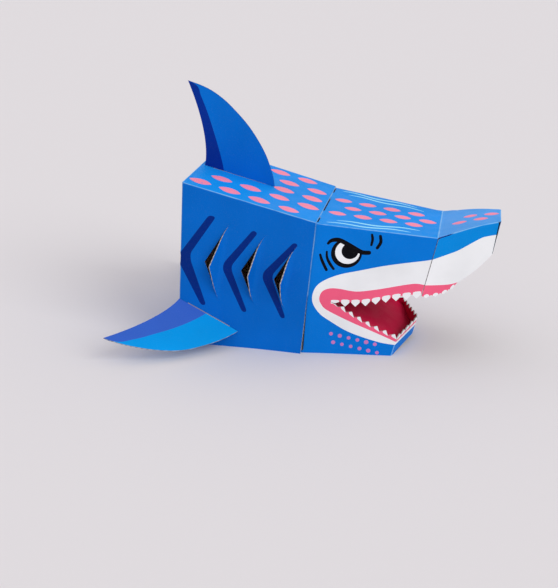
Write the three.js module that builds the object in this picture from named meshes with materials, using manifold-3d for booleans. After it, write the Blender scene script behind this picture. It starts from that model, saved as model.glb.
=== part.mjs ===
import * as THREE from 'three';
import { ConvexGeometry } from 'three/addons/geometries/ConvexGeometry.js';
import { mergeVertices } from 'three/addons/utils/BufferGeometryUtils.js';
import Module from 'manifold-3d';

// Shark head mask of folded, printed card, worn over the head like a box that is open below.
// Millimetres, +Z up, nose towards -Y, the wearer's right hand at -X.
// "Along" is a length forwards from the rear panel, "half" a distance to one side of the middle.

// Card
const card = 1.5;
const clearance = 0.3;

// Head box
const rearHeight = 240;
const rearWidth = 240;
const seamAlong = 191;
const seamHeight = 197;
const seamWidth = 224;
const seamLean = 11;
const tuck = 18;

// Face, from the seam to the bend
const faceLength = 170;
const bendAlong = seamAlong + faceLength;
const bendHeight = 181;
const bendWidth = 154;
const bendLean = 16;
const bendFootAlong = bendAlong - bendLean;
const bendFootHeight = 94;

// Snout, from the bend to the tip
const snoutLength = 86;
const tipAlong = bendAlong + snoutLength;
const tipHeight = 202;
const tipWidth = 70;
const tipLean = 7;
const tipFootAlong = tipAlong - tipLean;
const tipFootHeight = 152.5;
const snoutArch = 2.5;
const snoutSeam = 0.9;
const reliefLength = 22;
const glueTab = 12;

// Mouth
const mouthSetback = 26;
const mouthCornerAlong = seamAlong + mouthSetback;
const mouthCornerHeight = 80;
const upperEndHeight = 101;
const upperTeeth = 9;
const upperToothLength = 6;
const snoutGumLength = 48;
const snoutGumAlong = bendFootAlong + snoutGumLength;
const snoutGumHeight = 114;
const snoutTeeth = 4;
const snoutToothLength = 3;
const lowerTeeth = 8;
const lowerToothLength = 6.5;
const lowerSag = 8;

// Chin, two panels that meet in a blunt point
const jawLength = 93;
const chinAlong = mouthCornerAlong + jawLength;
const chinPoint = 23;
const chinHeight = 26;
const chinSlope = 0.2143;
const chinFootRise = 7;
const chinTopRise = 5;
const chinTeeth = 5;
const chinToothLength = 5.5;

// Red lining between the lower jaws
const liningLap = 5;
const liningRearAlong = mouthCornerAlong - liningLap;
const liningDrop = 4;
const liningRearHeight = mouthCornerHeight - liningDrop;
const liningSlope = 0.525;
const liningFlange = 13;

// Gill flaps, each cut on two sides and folded out on the third
const flapAngle = 44;
// Shares of the length and height of the head side: fold top, free apex, fold foot
const gills = [
  { top: [0.381, 0.96], apex: [0.186, 0.64], foot: [0.309, 0.333] },
  { top: [0.641, 0.885], apex: [0.463, 0.595], foot: [0.58, 0.326] },
  { top: [0.878, 0.828], apex: [0.712, 0.55], foot: [0.809, 0.308] },
];

// Dorsal fin, measured along and square to the top panel
const dorsal = {
  root: 109,
  height: 114.5,
  sweep: 55.5,
  hollow: 1.6,
  leading: [[1, 0], [0.913, 0.177], [0.649, 0.497], [0.24, 0.794], [-0.148, 0.962], [-0.355, 0.994]],
};
const dorsalStart = 5.5;

// Side fins, measured along the root and square to it in the plane of the fin
const pectoral = {
  root: 97,
  height: 128.5,
  sweep: 62,
  hollow: 1.4,
  leading: [[1, 0], [0.83, 0.23], [0.62, 0.445], [0.42, 0.613], [0.12, 0.776], [-0.157, 0.882], [-0.389, 0.952]],
};
const pectoralRootHeight = 67;
const pectoralRootFall = 26;
const pectoralDroop = 28;
const finTabInset = 14;
const finFlange = 11;

const colours = {
  blue: 0x0a5fc0,
  faceBlue: 0x0c78dc,
  finBlue: 0x0a8fe6,
  crimson: 0x9a1438,
};

const wasm = await Module();
wasm.setup();

// A point from its length along, its distance to the left of the middle and its height.
const at = (along, side, height) => new THREE.Vector3(side, -along, height);

// Closed solid of a three.js geometry, for joining and cutting.
function solidOf(geometry) {
  const bare = geometry.clone();
  bare.deleteAttribute('normal');
  bare.deleteAttribute('uv');
  const merged = mergeVertices(bare, 1e-5);
  return new wasm.Manifold(new wasm.Mesh({
    numProp: 3,
    vertProperties: new Float32Array(merged.attributes.position.array),
    triVerts: new Uint32Array(merged.index.array),
  }));
}

function geometryOf(solid) {
  const mesh = solid.getMesh();
  const geometry = new THREE.BufferGeometry();
  geometry.setAttribute('position', new THREE.BufferAttribute(mesh.vertProperties, 3));
  geometry.setIndex(new THREE.BufferAttribute(mesh.triVerts, 1));
  geometry.computeVertexNormals();
  return geometry;
}

const hullOf = (points) => solidOf(new ConvexGeometry(points));

// Solid with a side view as its outline, from one distance beside the middle to another.
function sideProfile(outline, from, to) {
  const shape = new THREE.Shape(outline.map(([along, height]) => new THREE.Vector2(along, height)));
  const geometry = new THREE.ExtrudeGeometry(shape, { depth: to - from, bevelEnabled: false });
  const basis = new THREE.Matrix4().makeBasis(at(1, 0, 0), at(0, 0, 1), at(0, -1, 0));
  return solidOf(geometry.applyMatrix4(basis.setPosition(to, 0, 0)));
}

// Solid with a front view as its outline, between two lengths along.
function frontProfile(outline, from, to) {
  const shape = new THREE.Shape(outline.map(([side, height]) => new THREE.Vector2(side, height)));
  const geometry = new THREE.ExtrudeGeometry(shape, { depth: to - from, bevelEnabled: false });
  const basis = new THREE.Matrix4().makeBasis(at(0, 1, 0), at(0, 0, 1), at(1, 0, 0));
  return solidOf(geometry.applyMatrix4(basis.setPosition(at(from, 0, 0))));
}

// Half width on the flat panel through three of its corners, at any length and height.
function panelThrough(a, b, c) {
  const plane = new THREE.Plane().setFromCoplanarPoints(a, b, c);
  const { normal, constant } = plane;
  return (along, height) => (normal.y * along - normal.z * height - constant) / normal.x;
}

// Heights far enough past the rim and the top for every cutting solid.
const past = 20;
const below = -past;
const above = rearHeight + past;
const beyond = rearWidth;

// Panels of the two shells as half widths. The face starts inside the head box.
const sideTaper = (rearWidth - seamWidth) / 2 / seamAlong;
const headHalf = (along) => rearWidth / 2 - sideTaper * along;
const lap = card + clearance;
const seamFoot = seamAlong - seamLean;
const faceHalf = panelThrough(
  at(seamAlong, headHalf(seamAlong) - lap, seamHeight),
  at(seamFoot, headHalf(seamFoot) - lap, 0),
  at(bendAlong, bendWidth / 2, bendHeight),
);
const snoutHalf = panelThrough(
  at(bendAlong, bendWidth / 2, bendHeight),
  at(bendFootAlong, faceHalf(bendFootAlong, bendFootHeight), bendFootHeight),
  at(tipAlong, tipWidth / 2, tipHeight),
);

// Upright folds of the face card: two points of each fold, and the panel behind it.
const faceFolds = [
  { top: [seamAlong - tuck, seamHeight], foot: [seamFoot - tuck, 0], half: (along) => headHalf(along) - lap },
  { top: [seamAlong, seamHeight], foot: [seamFoot, 0], half: (along) => headHalf(along) - lap },
  { top: [bendAlong, bendHeight], foot: [bendFootAlong, bendFootHeight], half: faceHalf },
  { top: [tipAlong, tipHeight], foot: [tipFootAlong, tipFootHeight], half: snoutHalf },
];

// Length along at which a fold stands at a height.
function foldAlong({ top, foot }, height) {
  return foot[0] + (top[0] - foot[0]) * (height - foot[1]) / (top[1] - foot[1]);
}

// At each fold, how much further in a sheet's inner face lies across the mask than square to it.
const faceTaper = (seamWidth - bendWidth) / 2 / (bendAlong - seamAlong);
const snoutTaper = (bendWidth - tipWidth) / 2 / (tipAlong - bendAlong);
const spreads = [
  Math.hypot(1, sideTaper),
  Math.hypot(1, (sideTaper + faceTaper) / 2),
  Math.hypot(1, (faceTaper + snoutTaper) / 2),
  Math.hypot(1, snoutTaper),
];

// The space between the side panels of the face card, drawn in by an inset square to them.
function faceSpace(inset) {
  const points = [];
  faceFolds.forEach((fold, index) => {
    for (const height of [below, above]) {
      const along = foldAlong(fold, height);
      const half = fold.half(along, height) - inset * spreads[index];
      points.push(at(along, half, height), at(along, -half, height));
    }
  });
  return hullOf(points);
}

// The same for the head box, which runs on past both ends of its panels.
function headSpace(inset) {
  const points = [];
  for (const along of [-tuck, seamAlong + tuck]) {
    for (const height of [below, above]) {
      const half = headHalf(along) - inset;
      points.push(at(along, half, height), at(along, -half, height));
    }
  }
  return hullOf(points);
}

const topFall = (rearHeight - seamHeight) / seamAlong;
const headTop = (along) => rearHeight - topFall * along;

// Side view of the top of the face card, a depth below its upper face, from the tip back to the tuck.
function faceTopLine(depth) {
  const points = [];
  const steps = 6;
  for (let step = 0; step < steps; step += 1) {
    const share = 1 - step / steps;
    const arch = snoutArch * Math.sin(Math.PI * share ** 1.3);
    const along = THREE.MathUtils.lerp(bendAlong, tipAlong, share);
    const height = THREE.MathUtils.lerp(bendHeight, tipHeight, share);
    points.push([along, height + arch - depth]);
  }
  points.push([bendAlong + clearance, bendHeight - depth]);
  points.push([seamAlong, seamHeight - lap - depth]);
  points.push([seamAlong - tuck, headTop(seamAlong - tuck) - lap - depth]);
  return points;
}

// Teeth cut on a curve, each from its root to a tip at a share of its pitch and back.
function toothRow(curve, count, length, tipShare) {
  const points = [];
  for (let tooth = 0; tooth < count; tooth += 1) {
    const root = curve.getPointAt(tooth / count);
    const tip = curve.getPointAt((tooth + tipShare) / count);
    points.push([root.x, root.y], [tip.x, tip.y + length]);
  }
  const end = curve.getPointAt(1);
  points.push([end.x, end.y]);
  return points;
}

const point2 = (along, height) => new THREE.Vector2(along, height);
const chinTopAlong = chinAlong + chinSlope * chinHeight;

// Edge of the face card round the mouth, from the chin back to the corner and on to the snout.
function mouthEdge() {
  const corner = point2(mouthCornerAlong, mouthCornerHeight);
  const bendFoot = foldAlong(faceFolds[2], upperEndHeight);
  const reach = bendFoot - clearance - mouthCornerAlong;
  const rise = upperEndHeight - mouthCornerHeight;
  const upperShares = [[0, 0], [0.35, 0.08], [0.68, 0.52], [1, 1]];
  const upper = new THREE.SplineCurve(
    upperShares.map(([length, height]) => point2(corner.x + reach * length, corner.y + rise * height)),
  );
  const chinTop = point2(chinTopAlong - card / 2, chinHeight);
  const middle = corner.clone().lerp(chinTop, 0.5);
  const lower = new THREE.QuadraticBezierCurve(corner, middle.setY(middle.y - lowerSag), chinTop);
  const snout = new THREE.LineCurve(upper.getPoint(1), point2(snoutGumAlong, snoutGumHeight));
  return [
    ...toothRow(lower, lowerTeeth, lowerToothLength, 0.8).reverse(),
    ...toothRow(upper, upperTeeth, -upperToothLength, 0.5).slice(1),
    ...toothRow(snout, snoutTeeth, -snoutToothLength, 0.5).slice(1),
  ];
}

// Underside of the snout as a shallow bow from the gum to the tip.
function snoutUnderside() {
  const bow = new THREE.QuadraticBezierCurve(
    point2(snoutGumAlong, snoutGumHeight),
    point2(
      THREE.MathUtils.lerp(snoutGumAlong, tipFootAlong, 0.62),
      THREE.MathUtils.lerp(snoutGumHeight, tipFootHeight, 0.42),
    ),
    point2(tipFootAlong, tipFootHeight),
  );
  return bow.getPoints(5).slice(1).map((point) => [point.x, point.y]);
}

// Narrow strip beside a line in the side view, from a distance behind it to a distance ahead of it.
function strip([fromAlong, fromHeight], [toAlong, toHeight], behind, ahead) {
  const outline = [
    [fromAlong - behind, fromHeight],
    [fromAlong + ahead, fromHeight],
    [toAlong + ahead, toHeight],
    [toAlong - behind, toHeight],
  ];
  return sideProfile(outline, -beyond, beyond);
}

// The chin is a bent band whose plan is a blunt V. It leans forwards as it rises.
function chinBand(front, back, width) {
  const tipLine = (side, depth) => chinAlong + chinPoint * (1 - Math.abs(side) / faceHalf(chinAlong, 0)) - depth;
  const outline = [
    [-width, tipLine(width, front)], [0, tipLine(0, front)], [width, tipLine(width, front)],
    [width, tipLine(width, back)], [0, tipLine(0, back)], [-width, tipLine(width, back)],
  ];
  const shape = new THREE.Shape(outline.map(([side, along]) => new THREE.Vector2(side, -along)));
  const geometry = new THREE.ExtrudeGeometry(shape, { depth: above - below, bevelEnabled: false });
  geometry.translate(0, 0, below);
  geometry.applyMatrix4(new THREE.Matrix4().makeShear(0, 0, 0, 0, 0, -chinSlope));
  return solidOf(geometry);
}

function chinPanel() {
  const corner = faceHalf(chinTopAlong, chinHeight);
  const crease = point2(0, chinHeight + chinTopRise);
  const outline = [[-beyond, above], [-beyond, chinHeight]];
  for (const sign of [-1, 1]) {
    const end = point2(sign * corner, chinHeight);
    const half = sign < 0 ? new THREE.LineCurve(end, crease) : new THREE.LineCurve(crease, end);
    outline.push(...toothRow(half, chinTeeth, chinToothLength, 0.5));
  }
  outline.push([beyond, chinHeight], [beyond, above]);
  const aboveTeeth = frontProfile(outline, chinAlong - tuck, tipAlong);
  const foot = chinAlong + chinPoint;
  const underFoot = sideProfile(
    [[chinAlong, below], [chinAlong, 0], [foot, chinFootRise], [tipAlong, chinFootRise], [tipAlong, below]],
    -beyond,
    beyond,
  );
  const underRim = sideProfile([[0, below], [0, 0], [tipAlong, 0], [tipAlong, below]], -beyond, beyond);
  const depth = card * Math.hypot(1, chinPoint / faceHalf(chinAlong, 0));
  return chinBand(0, depth, rearWidth / 2)
    .intersect(faceSpace(0))
    .subtract(aboveTeeth)
    .subtract(underFoot)
    .subtract(underRim);
}

// Face card: top strip, side panels with the mouth, chin and snout, folded from one sheet.
function faceShell() {
  const outline = [
    [seamFoot - tuck, 0],
    [chinAlong - card / 2, 0],
    ...mouthEdge(),
    ...snoutUnderside(),
    ...faceTopLine(0),
  ];
  const inside = [
    [-tuck, below],
    [tipFootAlong - card, below],
    [tipFootAlong - card, tipFootHeight],
    [tipAlong - card, tipHeight - card],
    ...faceTopLine(card).slice(1),
    [-tuck, above],
  ];
  const seamTop = bendHeight - card - snoutSeam / 2;
  const seamEnd = bendFootHeight - 2 * snoutToothLength;
  const bendLine = [
    [foldAlong(faceFolds[2], seamEnd), seamEnd],
    [foldAlong(faceFolds[2], seamTop), seamTop],
  ];
  const tipLine = [[tipFootAlong, tipFootHeight], [tipAlong, tipHeight]];
  const tabs = faceSpace(card / 2).subtract(faceSpace(2 * card)).intersect(
    strip([bendFootAlong, bendFootHeight + card], [bendAlong, bendHeight], glueTab, glueTab)
      .add(strip(...tipLine, glueTab, 0)),
  );
  const cavity = faceSpace(card).intersect(sideProfile(inside, -beyond, beyond)).subtract(tabs);
  const sheet = faceSpace(0).intersect(sideProfile(outline, -beyond, beyond)).subtract(cavity);

  // Seams in the side panels, backed by the glue tabs, and the relief slit, which goes right through
  const reliefRise = (tipHeight - bendHeight) / (tipAlong - bendAlong) * reliefLength;
  const relief = sideProfile([
    [bendAlong - snoutSeam, bendHeight - card - snoutSeam],
    [bendAlong + clearance, bendHeight - card - snoutSeam],
    [bendAlong + reliefLength, bendHeight + reliefRise - card - snoutSeam],
    [bendAlong + reliefLength, bendHeight + reliefRise - card],
    [bendAlong + clearance, bendHeight - card],
    [bendAlong - snoutSeam, bendHeight - card],
  ], -beyond, beyond);
  const grooves = strip(...bendLine, snoutSeam / 2, snoutSeam / 2)
    .add(strip([tipFootAlong, tipFootHeight - card], [tipAlong, tipHeight - card], card + snoutSeam, -card))
    .subtract(faceSpace(card));
  return sheet.subtract(grooves).subtract(relief.subtract(faceSpace(3 * card))).add(chinPanel());
}

// Corners of one gill in the middle of the card: fold top, free apex and fold foot.
function gillPoints(gill, side) {
  return [gill.top, gill.apex, gill.foot].map(([lengthShare, heightShare]) => {
    const along = seamAlong * lengthShare;
    return at(along, side * (headHalf(along) - card / 2), seamHeight * heightShare);
  });
}

function gillOpening(gill, side) {
  const corners = gillPoints(gill, side).map((corner) => [-corner.y, corner.z]);
  const from = side < 0 ? -beyond : 0;
  return sideProfile(corners, from, from + beyond);
}

function gillFlap(gill, side) {
  const [top, apex, foot] = gillPoints(gill, side);
  const axis = foot.clone().sub(top).normalize();
  const open = THREE.MathUtils.degToRad(flapAngle) * side;
  const tip = apex.clone().sub(top).applyAxisAngle(axis, open).add(top);
  const normal = axis.clone().cross(tip.clone().sub(top)).setLength(card / 2);
  const points = [];
  for (const corner of [top, tip, foot]) {
    points.push(corner.clone().add(normal), corner.clone().sub(normal));
  }
  return hullOf(points);
}

// Outline of a fin: a hollow trailing edge by a power law and a full leading edge from a table.
function finOutline(fin, rootDepth) {
  const steps = 8;
  const points = [[fin.root, -rootDepth], [0, -rootDepth]];
  for (let step = 0; step < steps; step += 1) {
    const share = step / steps;
    points.push([-fin.sweep * share ** fin.hollow, fin.height * share]);
  }
  const leading = new THREE.SplineCurve(
    [...fin.leading, [-fin.sweep / fin.root, 1]].map(([x, y]) => point2(fin.root * x, fin.height * y)),
  );
  leading.getPoints(16).reverse().forEach((point) => points.push([point.x, point.y]));
  return points;
}

// Flat sheet with an outline in the plane of two directions, centred on that plane.
function sheetIn(outline, origin, along, up, thickness) {
  const shape = new THREE.Shape(outline.map(([x, y]) => new THREE.Vector2(x, y)));
  const geometry = new THREE.ExtrudeGeometry(shape, { depth: thickness, bevelEnabled: false });
  geometry.translate(0, 0, -thickness / 2);
  const across = along.clone().cross(up);
  return solidOf(geometry.applyMatrix4(new THREE.Matrix4().makeBasis(along, up, across).setPosition(origin)));
}

function tabOutline(fin, extra) {
  const from = finTabInset - extra;
  const to = fin.root - finTabInset + extra;
  const depth = 2 * card + 4 * clearance + extra;
  return [[from, -depth], [to, -depth], [to, card], [from, card]];
}

// Where each fin stands: the rear end of its root, the root's direction and the fin's own upward one.
function dorsalPlace() {
  const forwards = at(1, 0, -topFall).normalize();
  const square = at(topFall, 0, 1).normalize();
  return { origin: at(dorsalStart, 0, headTop(dorsalStart)), forwards, outwards: square };
}

function pectoralPlace(side) {
  const fall = THREE.MathUtils.degToRad(pectoralRootFall);
  const forwards = at(Math.cos(fall), -side * sideTaper * Math.cos(fall), -Math.sin(fall)).normalize();
  const square = at(sideTaper, side, 0).normalize();
  const under = square.clone().cross(forwards).multiplyScalar(side);
  const droop = THREE.MathUtils.degToRad(pectoralDroop);
  if (under.z > 0) under.negate();
  const outwards = square.multiplyScalar(Math.cos(droop)).addScaledVector(under, Math.sin(droop));
  return { origin: at(0, side * headHalf(0), pectoralRootHeight), forwards, outwards };
}

// The slot is the fin's tab with the clearance all round.
function finSlot(fin, { origin, forwards, outwards }) {
  return sheetIn(tabOutline(fin, clearance), origin, forwards, outwards, card + 2 * clearance);
}

function dorsalFin() {
  const place = dorsalPlace();
  const underTop = (depth) => [[-tuck, headTop(-tuck) - depth], [seamAlong, headTop(seamAlong) - depth]];
  const solidBelow = (depth) => sideProfile([[-tuck, below], [seamAlong, below], ...underTop(depth).reverse()],
    -beyond, beyond);
  const blade = sheetIn(finOutline(dorsal, card), place.origin, place.forwards, place.outwards, card)
    .subtract(solidBelow(-clearance));
  const tab = sheetIn(tabOutline(dorsal, 0), place.origin, place.forwards, place.outwards, card);
  const layer = solidBelow(lap).subtract(solidBelow(lap + card));
  const middle = dorsalStart + dorsal.root / 2;
  const reach = dorsal.root / 2 - finTabInset - clearance;
  const span = (from, to, left, right) => sideProfile(
    [[from, below], [to, below], [to, above], [from, above]], left, right);
  const feet = layer.intersect(
    span(middle - reach, middle - clearance, -finFlange, card / 2)
      .add(span(middle + clearance, middle + reach, -card / 2, finFlange)),
  );
  return blade.add(tab.subtract(solidBelow(lap + card))).add(feet);
}

function pectoralFin(side) {
  const place = pectoralPlace(side);
  const { origin, forwards, outwards } = place;
  const blade = sheetIn(finOutline(pectoral, card), origin, forwards, outwards, card)
    .subtract(headSpace(-clearance));
  const tab = sheetIn(tabOutline(pectoral, 0), origin, forwards, outwards, card)
    .subtract(headSpace(lap + card));
  const layer = headSpace(lap).subtract(headSpace(lap + card));
  const rootHeight = (along) => pectoralRootHeight + along * forwards.z / -forwards.y;
  const middle = -pectoral.root / 2 * forwards.y;
  const reach = middle + finTabInset * forwards.y - clearance;
  const [from, to] = side < 0 ? [-beyond, 0] : [0, beyond];
  const foot = (start, end, low, high) => sideProfile([
    [start, rootHeight(start) + low], [end, rootHeight(end) + low],
    [end, rootHeight(end) + high], [start, rootHeight(start) + high],
  ], from, to);
  const feet = layer.intersect(
    foot(middle - reach, middle - clearance, -card, finFlange)
      .add(foot(middle + clearance, middle + reach, -finFlange, card)),
  );
  return blade.add(tab).add(feet);
}

// Head card: top, sides and rear panel, with gill flaps and the slots of the three fins.
function headShell() {
  const outline = [[0, 0], [seamFoot, 0], [seamAlong, seamHeight], [0, rearHeight]];
  const inside = [
    [card, below],
    [seamAlong + tuck, below],
    [seamAlong + tuck, headTop(seamAlong + tuck) - card],
    [card, headTop(card) - card],
  ];
  let shell = headSpace(0)
    .intersect(sideProfile(outline, -beyond, beyond))
    .subtract(headSpace(card).intersect(sideProfile(inside, -beyond, beyond)))
    .subtract(finSlot(dorsal, dorsalPlace()));
  for (const side of [-1, 1]) {
    shell = shell.subtract(finSlot(pectoral, pectoralPlace(side)));
    for (const gill of gills) {
      shell = shell.subtract(gillOpening(gill, side)).add(gillFlap(gill, side));
    }
  }
  return shell;
}

// Red card that fills the mouth between the lower jaws, glued down inside by a flange on each side.
function mouthLining() {
  const front = chinTopAlong + chinPoint;
  const heightAt = (along) => liningRearHeight - liningSlope * (along - liningRearAlong);
  const layer = (start, end, low, high) => sideProfile([
    [start, heightAt(start) + low], [end, heightAt(end) + low],
    [end, heightAt(end) + high], [start, heightAt(start) + high],
  ], -beyond, beyond);
  const depth = (lap + clearance) * Math.hypot(1, chinPoint / faceHalf(chinAlong, 0));
  const withinChin = chinBand(depth, seamAlong, rearWidth / 2);
  const sheet = layer(liningRearAlong, front, -card, 0).intersect(faceSpace(lap));
  const flanges = layer(liningRearAlong + glueTab / 2, chinAlong - glueTab, -liningFlange, -card / 2)
    .intersect(faceSpace(lap).subtract(faceSpace(lap + card)));
  return sheet.add(flanges).intersect(withinChin);
}

function piece(name, solid, colour, roughness) {
  const material = new THREE.MeshStandardMaterial({ color: colour, roughness, metalness: 0 });
  const mesh = new THREE.Mesh(geometryOf(solid), material);
  mesh.name = name;
  return mesh;
}

const mask = new THREE.Group();
mask.add(piece('head_shell', headShell(), colours.blue, 0.55));
mask.add(piece('face_shell', faceShell(), colours.faceBlue, 0.55));
mask.add(piece('mouth_lining', mouthLining(), colours.crimson, 0.6));
mask.add(piece('dorsal_fin', dorsalFin(), colours.finBlue, 0.55));
mask.add(piece('pectoral_fin_right', pectoralFin(-1), colours.finBlue, 0.55));
mask.add(piece('pectoral_fin_left', pectoralFin(1), colours.finBlue, 0.55));

// The origin lies under the middle of the whole mask, on the surface that its rim stands on.
const middle = new THREE.Box3().setFromObject(mask).getCenter(new THREE.Vector3());
mask.position.set(-middle.x, -middle.y, 0);

export default mask;
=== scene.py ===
import math

import bmesh
import bpy
import numpy as np
from mathutils import Matrix, Vector, noise
from mathutils.geometry import delaunay_2d_cdt


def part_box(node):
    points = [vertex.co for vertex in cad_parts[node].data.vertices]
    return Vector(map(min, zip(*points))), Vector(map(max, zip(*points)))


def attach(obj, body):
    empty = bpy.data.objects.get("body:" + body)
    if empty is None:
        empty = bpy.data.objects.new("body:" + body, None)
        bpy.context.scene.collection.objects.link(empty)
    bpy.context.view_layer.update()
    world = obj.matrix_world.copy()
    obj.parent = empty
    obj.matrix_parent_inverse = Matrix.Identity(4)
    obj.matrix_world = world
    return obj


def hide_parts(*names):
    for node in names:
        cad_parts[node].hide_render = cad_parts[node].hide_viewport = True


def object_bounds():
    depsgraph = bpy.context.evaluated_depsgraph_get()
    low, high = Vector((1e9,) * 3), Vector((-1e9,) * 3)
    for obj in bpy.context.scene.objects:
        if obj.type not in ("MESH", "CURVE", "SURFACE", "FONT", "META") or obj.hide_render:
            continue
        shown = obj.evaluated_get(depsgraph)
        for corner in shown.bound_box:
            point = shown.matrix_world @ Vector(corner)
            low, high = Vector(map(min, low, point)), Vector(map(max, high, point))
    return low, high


# Shark head mask of folded, printed card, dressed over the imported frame.
# Lengths are millimetres: along runs forwards from the rear panel, side to the left of the middle, height upwards.

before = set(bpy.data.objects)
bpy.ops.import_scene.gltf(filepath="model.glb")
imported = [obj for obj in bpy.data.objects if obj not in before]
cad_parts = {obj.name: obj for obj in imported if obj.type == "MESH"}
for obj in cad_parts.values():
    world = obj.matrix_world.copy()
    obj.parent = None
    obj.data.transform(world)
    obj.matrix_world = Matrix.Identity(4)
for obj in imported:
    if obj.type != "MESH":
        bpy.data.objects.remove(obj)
cadLow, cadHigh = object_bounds()
mm = 0.001
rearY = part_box("head_shell")[1].y


def place(along, side, height):
    return Vector((side * mm, rearY - along * mm, height * mm))


# ---------- camera, floor and light ----------
view = {
    "position": (-1.7301, -0.2097, 0.6450),
    "forward": (0.9353, 0.1446, -0.3229),
    "up": (0.3110, 0.0994, 0.9452),
    "focalPixels": 1209.1,
    "framePixels": 558,
}

studio = {
    "floorSize": 60,
    "paper": (224, 219, 222), "floor": (222, 221, 222),
    "worldStrength": 1.0,
    "keyFrom": (-0.5, -0.75, 0.62), "keySoftness": 40, "keyPower": 1.25,
    "topFrom": (0.35, 0.3, 1.0), "topSoftness": 80, "topPower": 0.17,
}


def linear(colour):
    def channel(value):
        value = value / 255
        return value / 12.92 if value <= 0.04045 else ((value + 0.055) / 1.055) ** 2.4
    return tuple(channel(value) for value in colour) + (1.0,)


def makeCamera():
    forward = Vector(view["forward"]).normalized()
    right = forward.cross(Vector(view["up"])).normalized()
    up = right.cross(forward)
    turn = Matrix((right, up, -forward)).transposed().to_4x4()
    data = bpy.data.cameras.new("viewCamera")
    data.sensor_fit = "HORIZONTAL"
    data.sensor_width = 36
    data.lens = view["focalPixels"] / view["framePixels"] * data.sensor_width
    camera = bpy.data.objects.new("viewCamera", data)
    camera.matrix_world = Matrix.Translation(view["position"]) @ turn
    bpy.context.scene.collection.objects.link(camera)
    bpy.context.scene.camera = camera


def softLight(name, source, softness, power):
    # a very large, far lamp, so that the floor stays evenly lit
    data = bpy.data.lights.new(name, "SUN")
    data.angle = math.radians(softness)
    data.energy = power
    light = bpy.data.objects.new(name, data)
    light.matrix_world = Vector(source).to_track_quat("Z", "Y").to_matrix().to_4x4()
    bpy.context.scene.collection.objects.link(light)


def makeStudio():
    world = bpy.data.worlds.new("studioWorld")
    world.use_nodes = True
    background = world.node_tree.nodes["Background"]
    background.inputs["Color"].default_value = linear(studio["paper"])
    background.inputs["Strength"].default_value = studio["worldStrength"]
    bpy.context.scene.world = world
    bpy.context.scene.view_settings.view_transform = "Standard"
    half = studio["floorSize"] / 2
    mesh = bpy.data.meshes.new("studioFloor")
    mesh.from_pydata([(-half, -half, 0), (half, -half, 0), (half, half, 0), (-half, half, 0)], [], [(0, 1, 2, 3)])
    floor = bpy.data.objects.new("studioFloor", mesh)
    bpy.context.scene.collection.objects.link(floor)
    paper = bpy.data.materials.new("studioPaper")
    paper.use_nodes = True
    shader = paper.node_tree.nodes["Principled BSDF"]
    shader.inputs["Base Color"].default_value = linear(studio["floor"])
    shader.inputs["Roughness"].default_value = 0.9
    shader.inputs["Specular IOR Level"].default_value = 0.1
    mesh.materials.append(paper)
    for name in ("key", "top"):
        softLight(name + "Light", studio[name + "From"], studio[name + "Softness"], studio[name + "Power"])


makeCamera()
makeStudio()
print("camera, floor and light are set")

# ---------- materials ----------
# One entry for each ink: colour, roughness, specular level and how much worn folds whiten.
inks = {
    # the side and rear blues are one printed blue, toned per panel for how the light falls: the head side and rear
    # darker as painted shade, the face and snout lighter as painted light
    "headBluePaintedShade": ((0, 104, 200), 0.5, 0.05, 0.5),
    "faceBlue": ((0, 118, 214), 0.48, 0.05, 0.5),
    "snoutBluePaintedLight": ((0, 134, 218), 0.46, 0.05, 0.5),
    # the tops: the same printed blue made lighter, a painted sheen of the overhead light
    "topBluePaintedSheen": ((14, 142, 232), 0.5, 0.05, 0.5),
    "rearBluePaintedShade": ((0, 96, 188), 0.5, 0.05, 0.5),
    # the snout's top: lighter again, a stronger painted sheen
    "snoutTop": ((62, 156, 236), 0.48, 0.14, 0.5),
    "navy": ((0, 42, 126), 0.52, 0.05, 0.2),
    "finNavy": ((0, 46, 142), 0.5, 0.05, 0.2),
    "finBlue": ((0, 108, 204), 0.48, 0.05, 0.4),
    # the pectoral fins' two printed zones with painted light in them: the front zone brighter for the light on its
    # upturned face, the rear zone tinted purple as a painted sheen
    "finSkyPrintAndSheen": ((0, 146, 222), 0.46, 0.05, 0.4),
    "finPurplePrintAndSheen": ((52, 96, 192), 0.48, 0.05, 0.4),
    "gum": ((240, 94, 130), 0.5, 0.15, 0.3),
    "white": ((236, 239, 241), 0.46, 0.25, 0.1),
    "black": ((4, 4, 10), 0.5, 0.06, 0.1),
    "crimson": ((212, 10, 70), 0.6, 0.06, 0.15),
    "spot": ((244, 138, 168), 0.5, 0.15, 0.1),
    "ripple": ((150, 226, 252), 0.5, 0.15, 0.1),
    "pore": ((206, 122, 186), 0.5, 0.15, 0.1),
}
board = {"raw": (172, 156, 138), "rawDark": (144, 128, 110), "core": (216, 216, 216), "coreDark": (168, 164, 160)}


def addNode(tree, kind, **sockets):
    node = tree.nodes.new(kind)
    for key, value in sockets.items():
        node.inputs[key.replace("_", " ")].default_value = value
    return node


def noiseNode(tree, coordinate, scale, detail, rough=0.5):
    node = addNode(tree, "ShaderNodeTexNoise", Scale=scale, Detail=detail, Roughness=rough)
    tree.links.new(coordinate, node.inputs["Vector"])
    return node.outputs["Fac"]


def rangeNode(tree, value, low, high, toLow=0.0, toHigh=1.0):
    node = tree.nodes.new("ShaderNodeMapRange")
    node.inputs["From Min"].default_value = low
    node.inputs["From Max"].default_value = high
    node.inputs["To Min"].default_value = toLow
    node.inputs["To Max"].default_value = toHigh
    tree.links.new(value, node.inputs["Value"])
    return node.outputs["Result"]


def mathNode(tree, operation, first, second):
    node = tree.nodes.new("ShaderNodeMath")
    node.operation = operation
    for socket, value in zip(node.inputs, (first, second)):
        if isinstance(value, (int, float)):
            socket.default_value = value
        else:
            tree.links.new(value, socket)
    return node.outputs[0]


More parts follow.
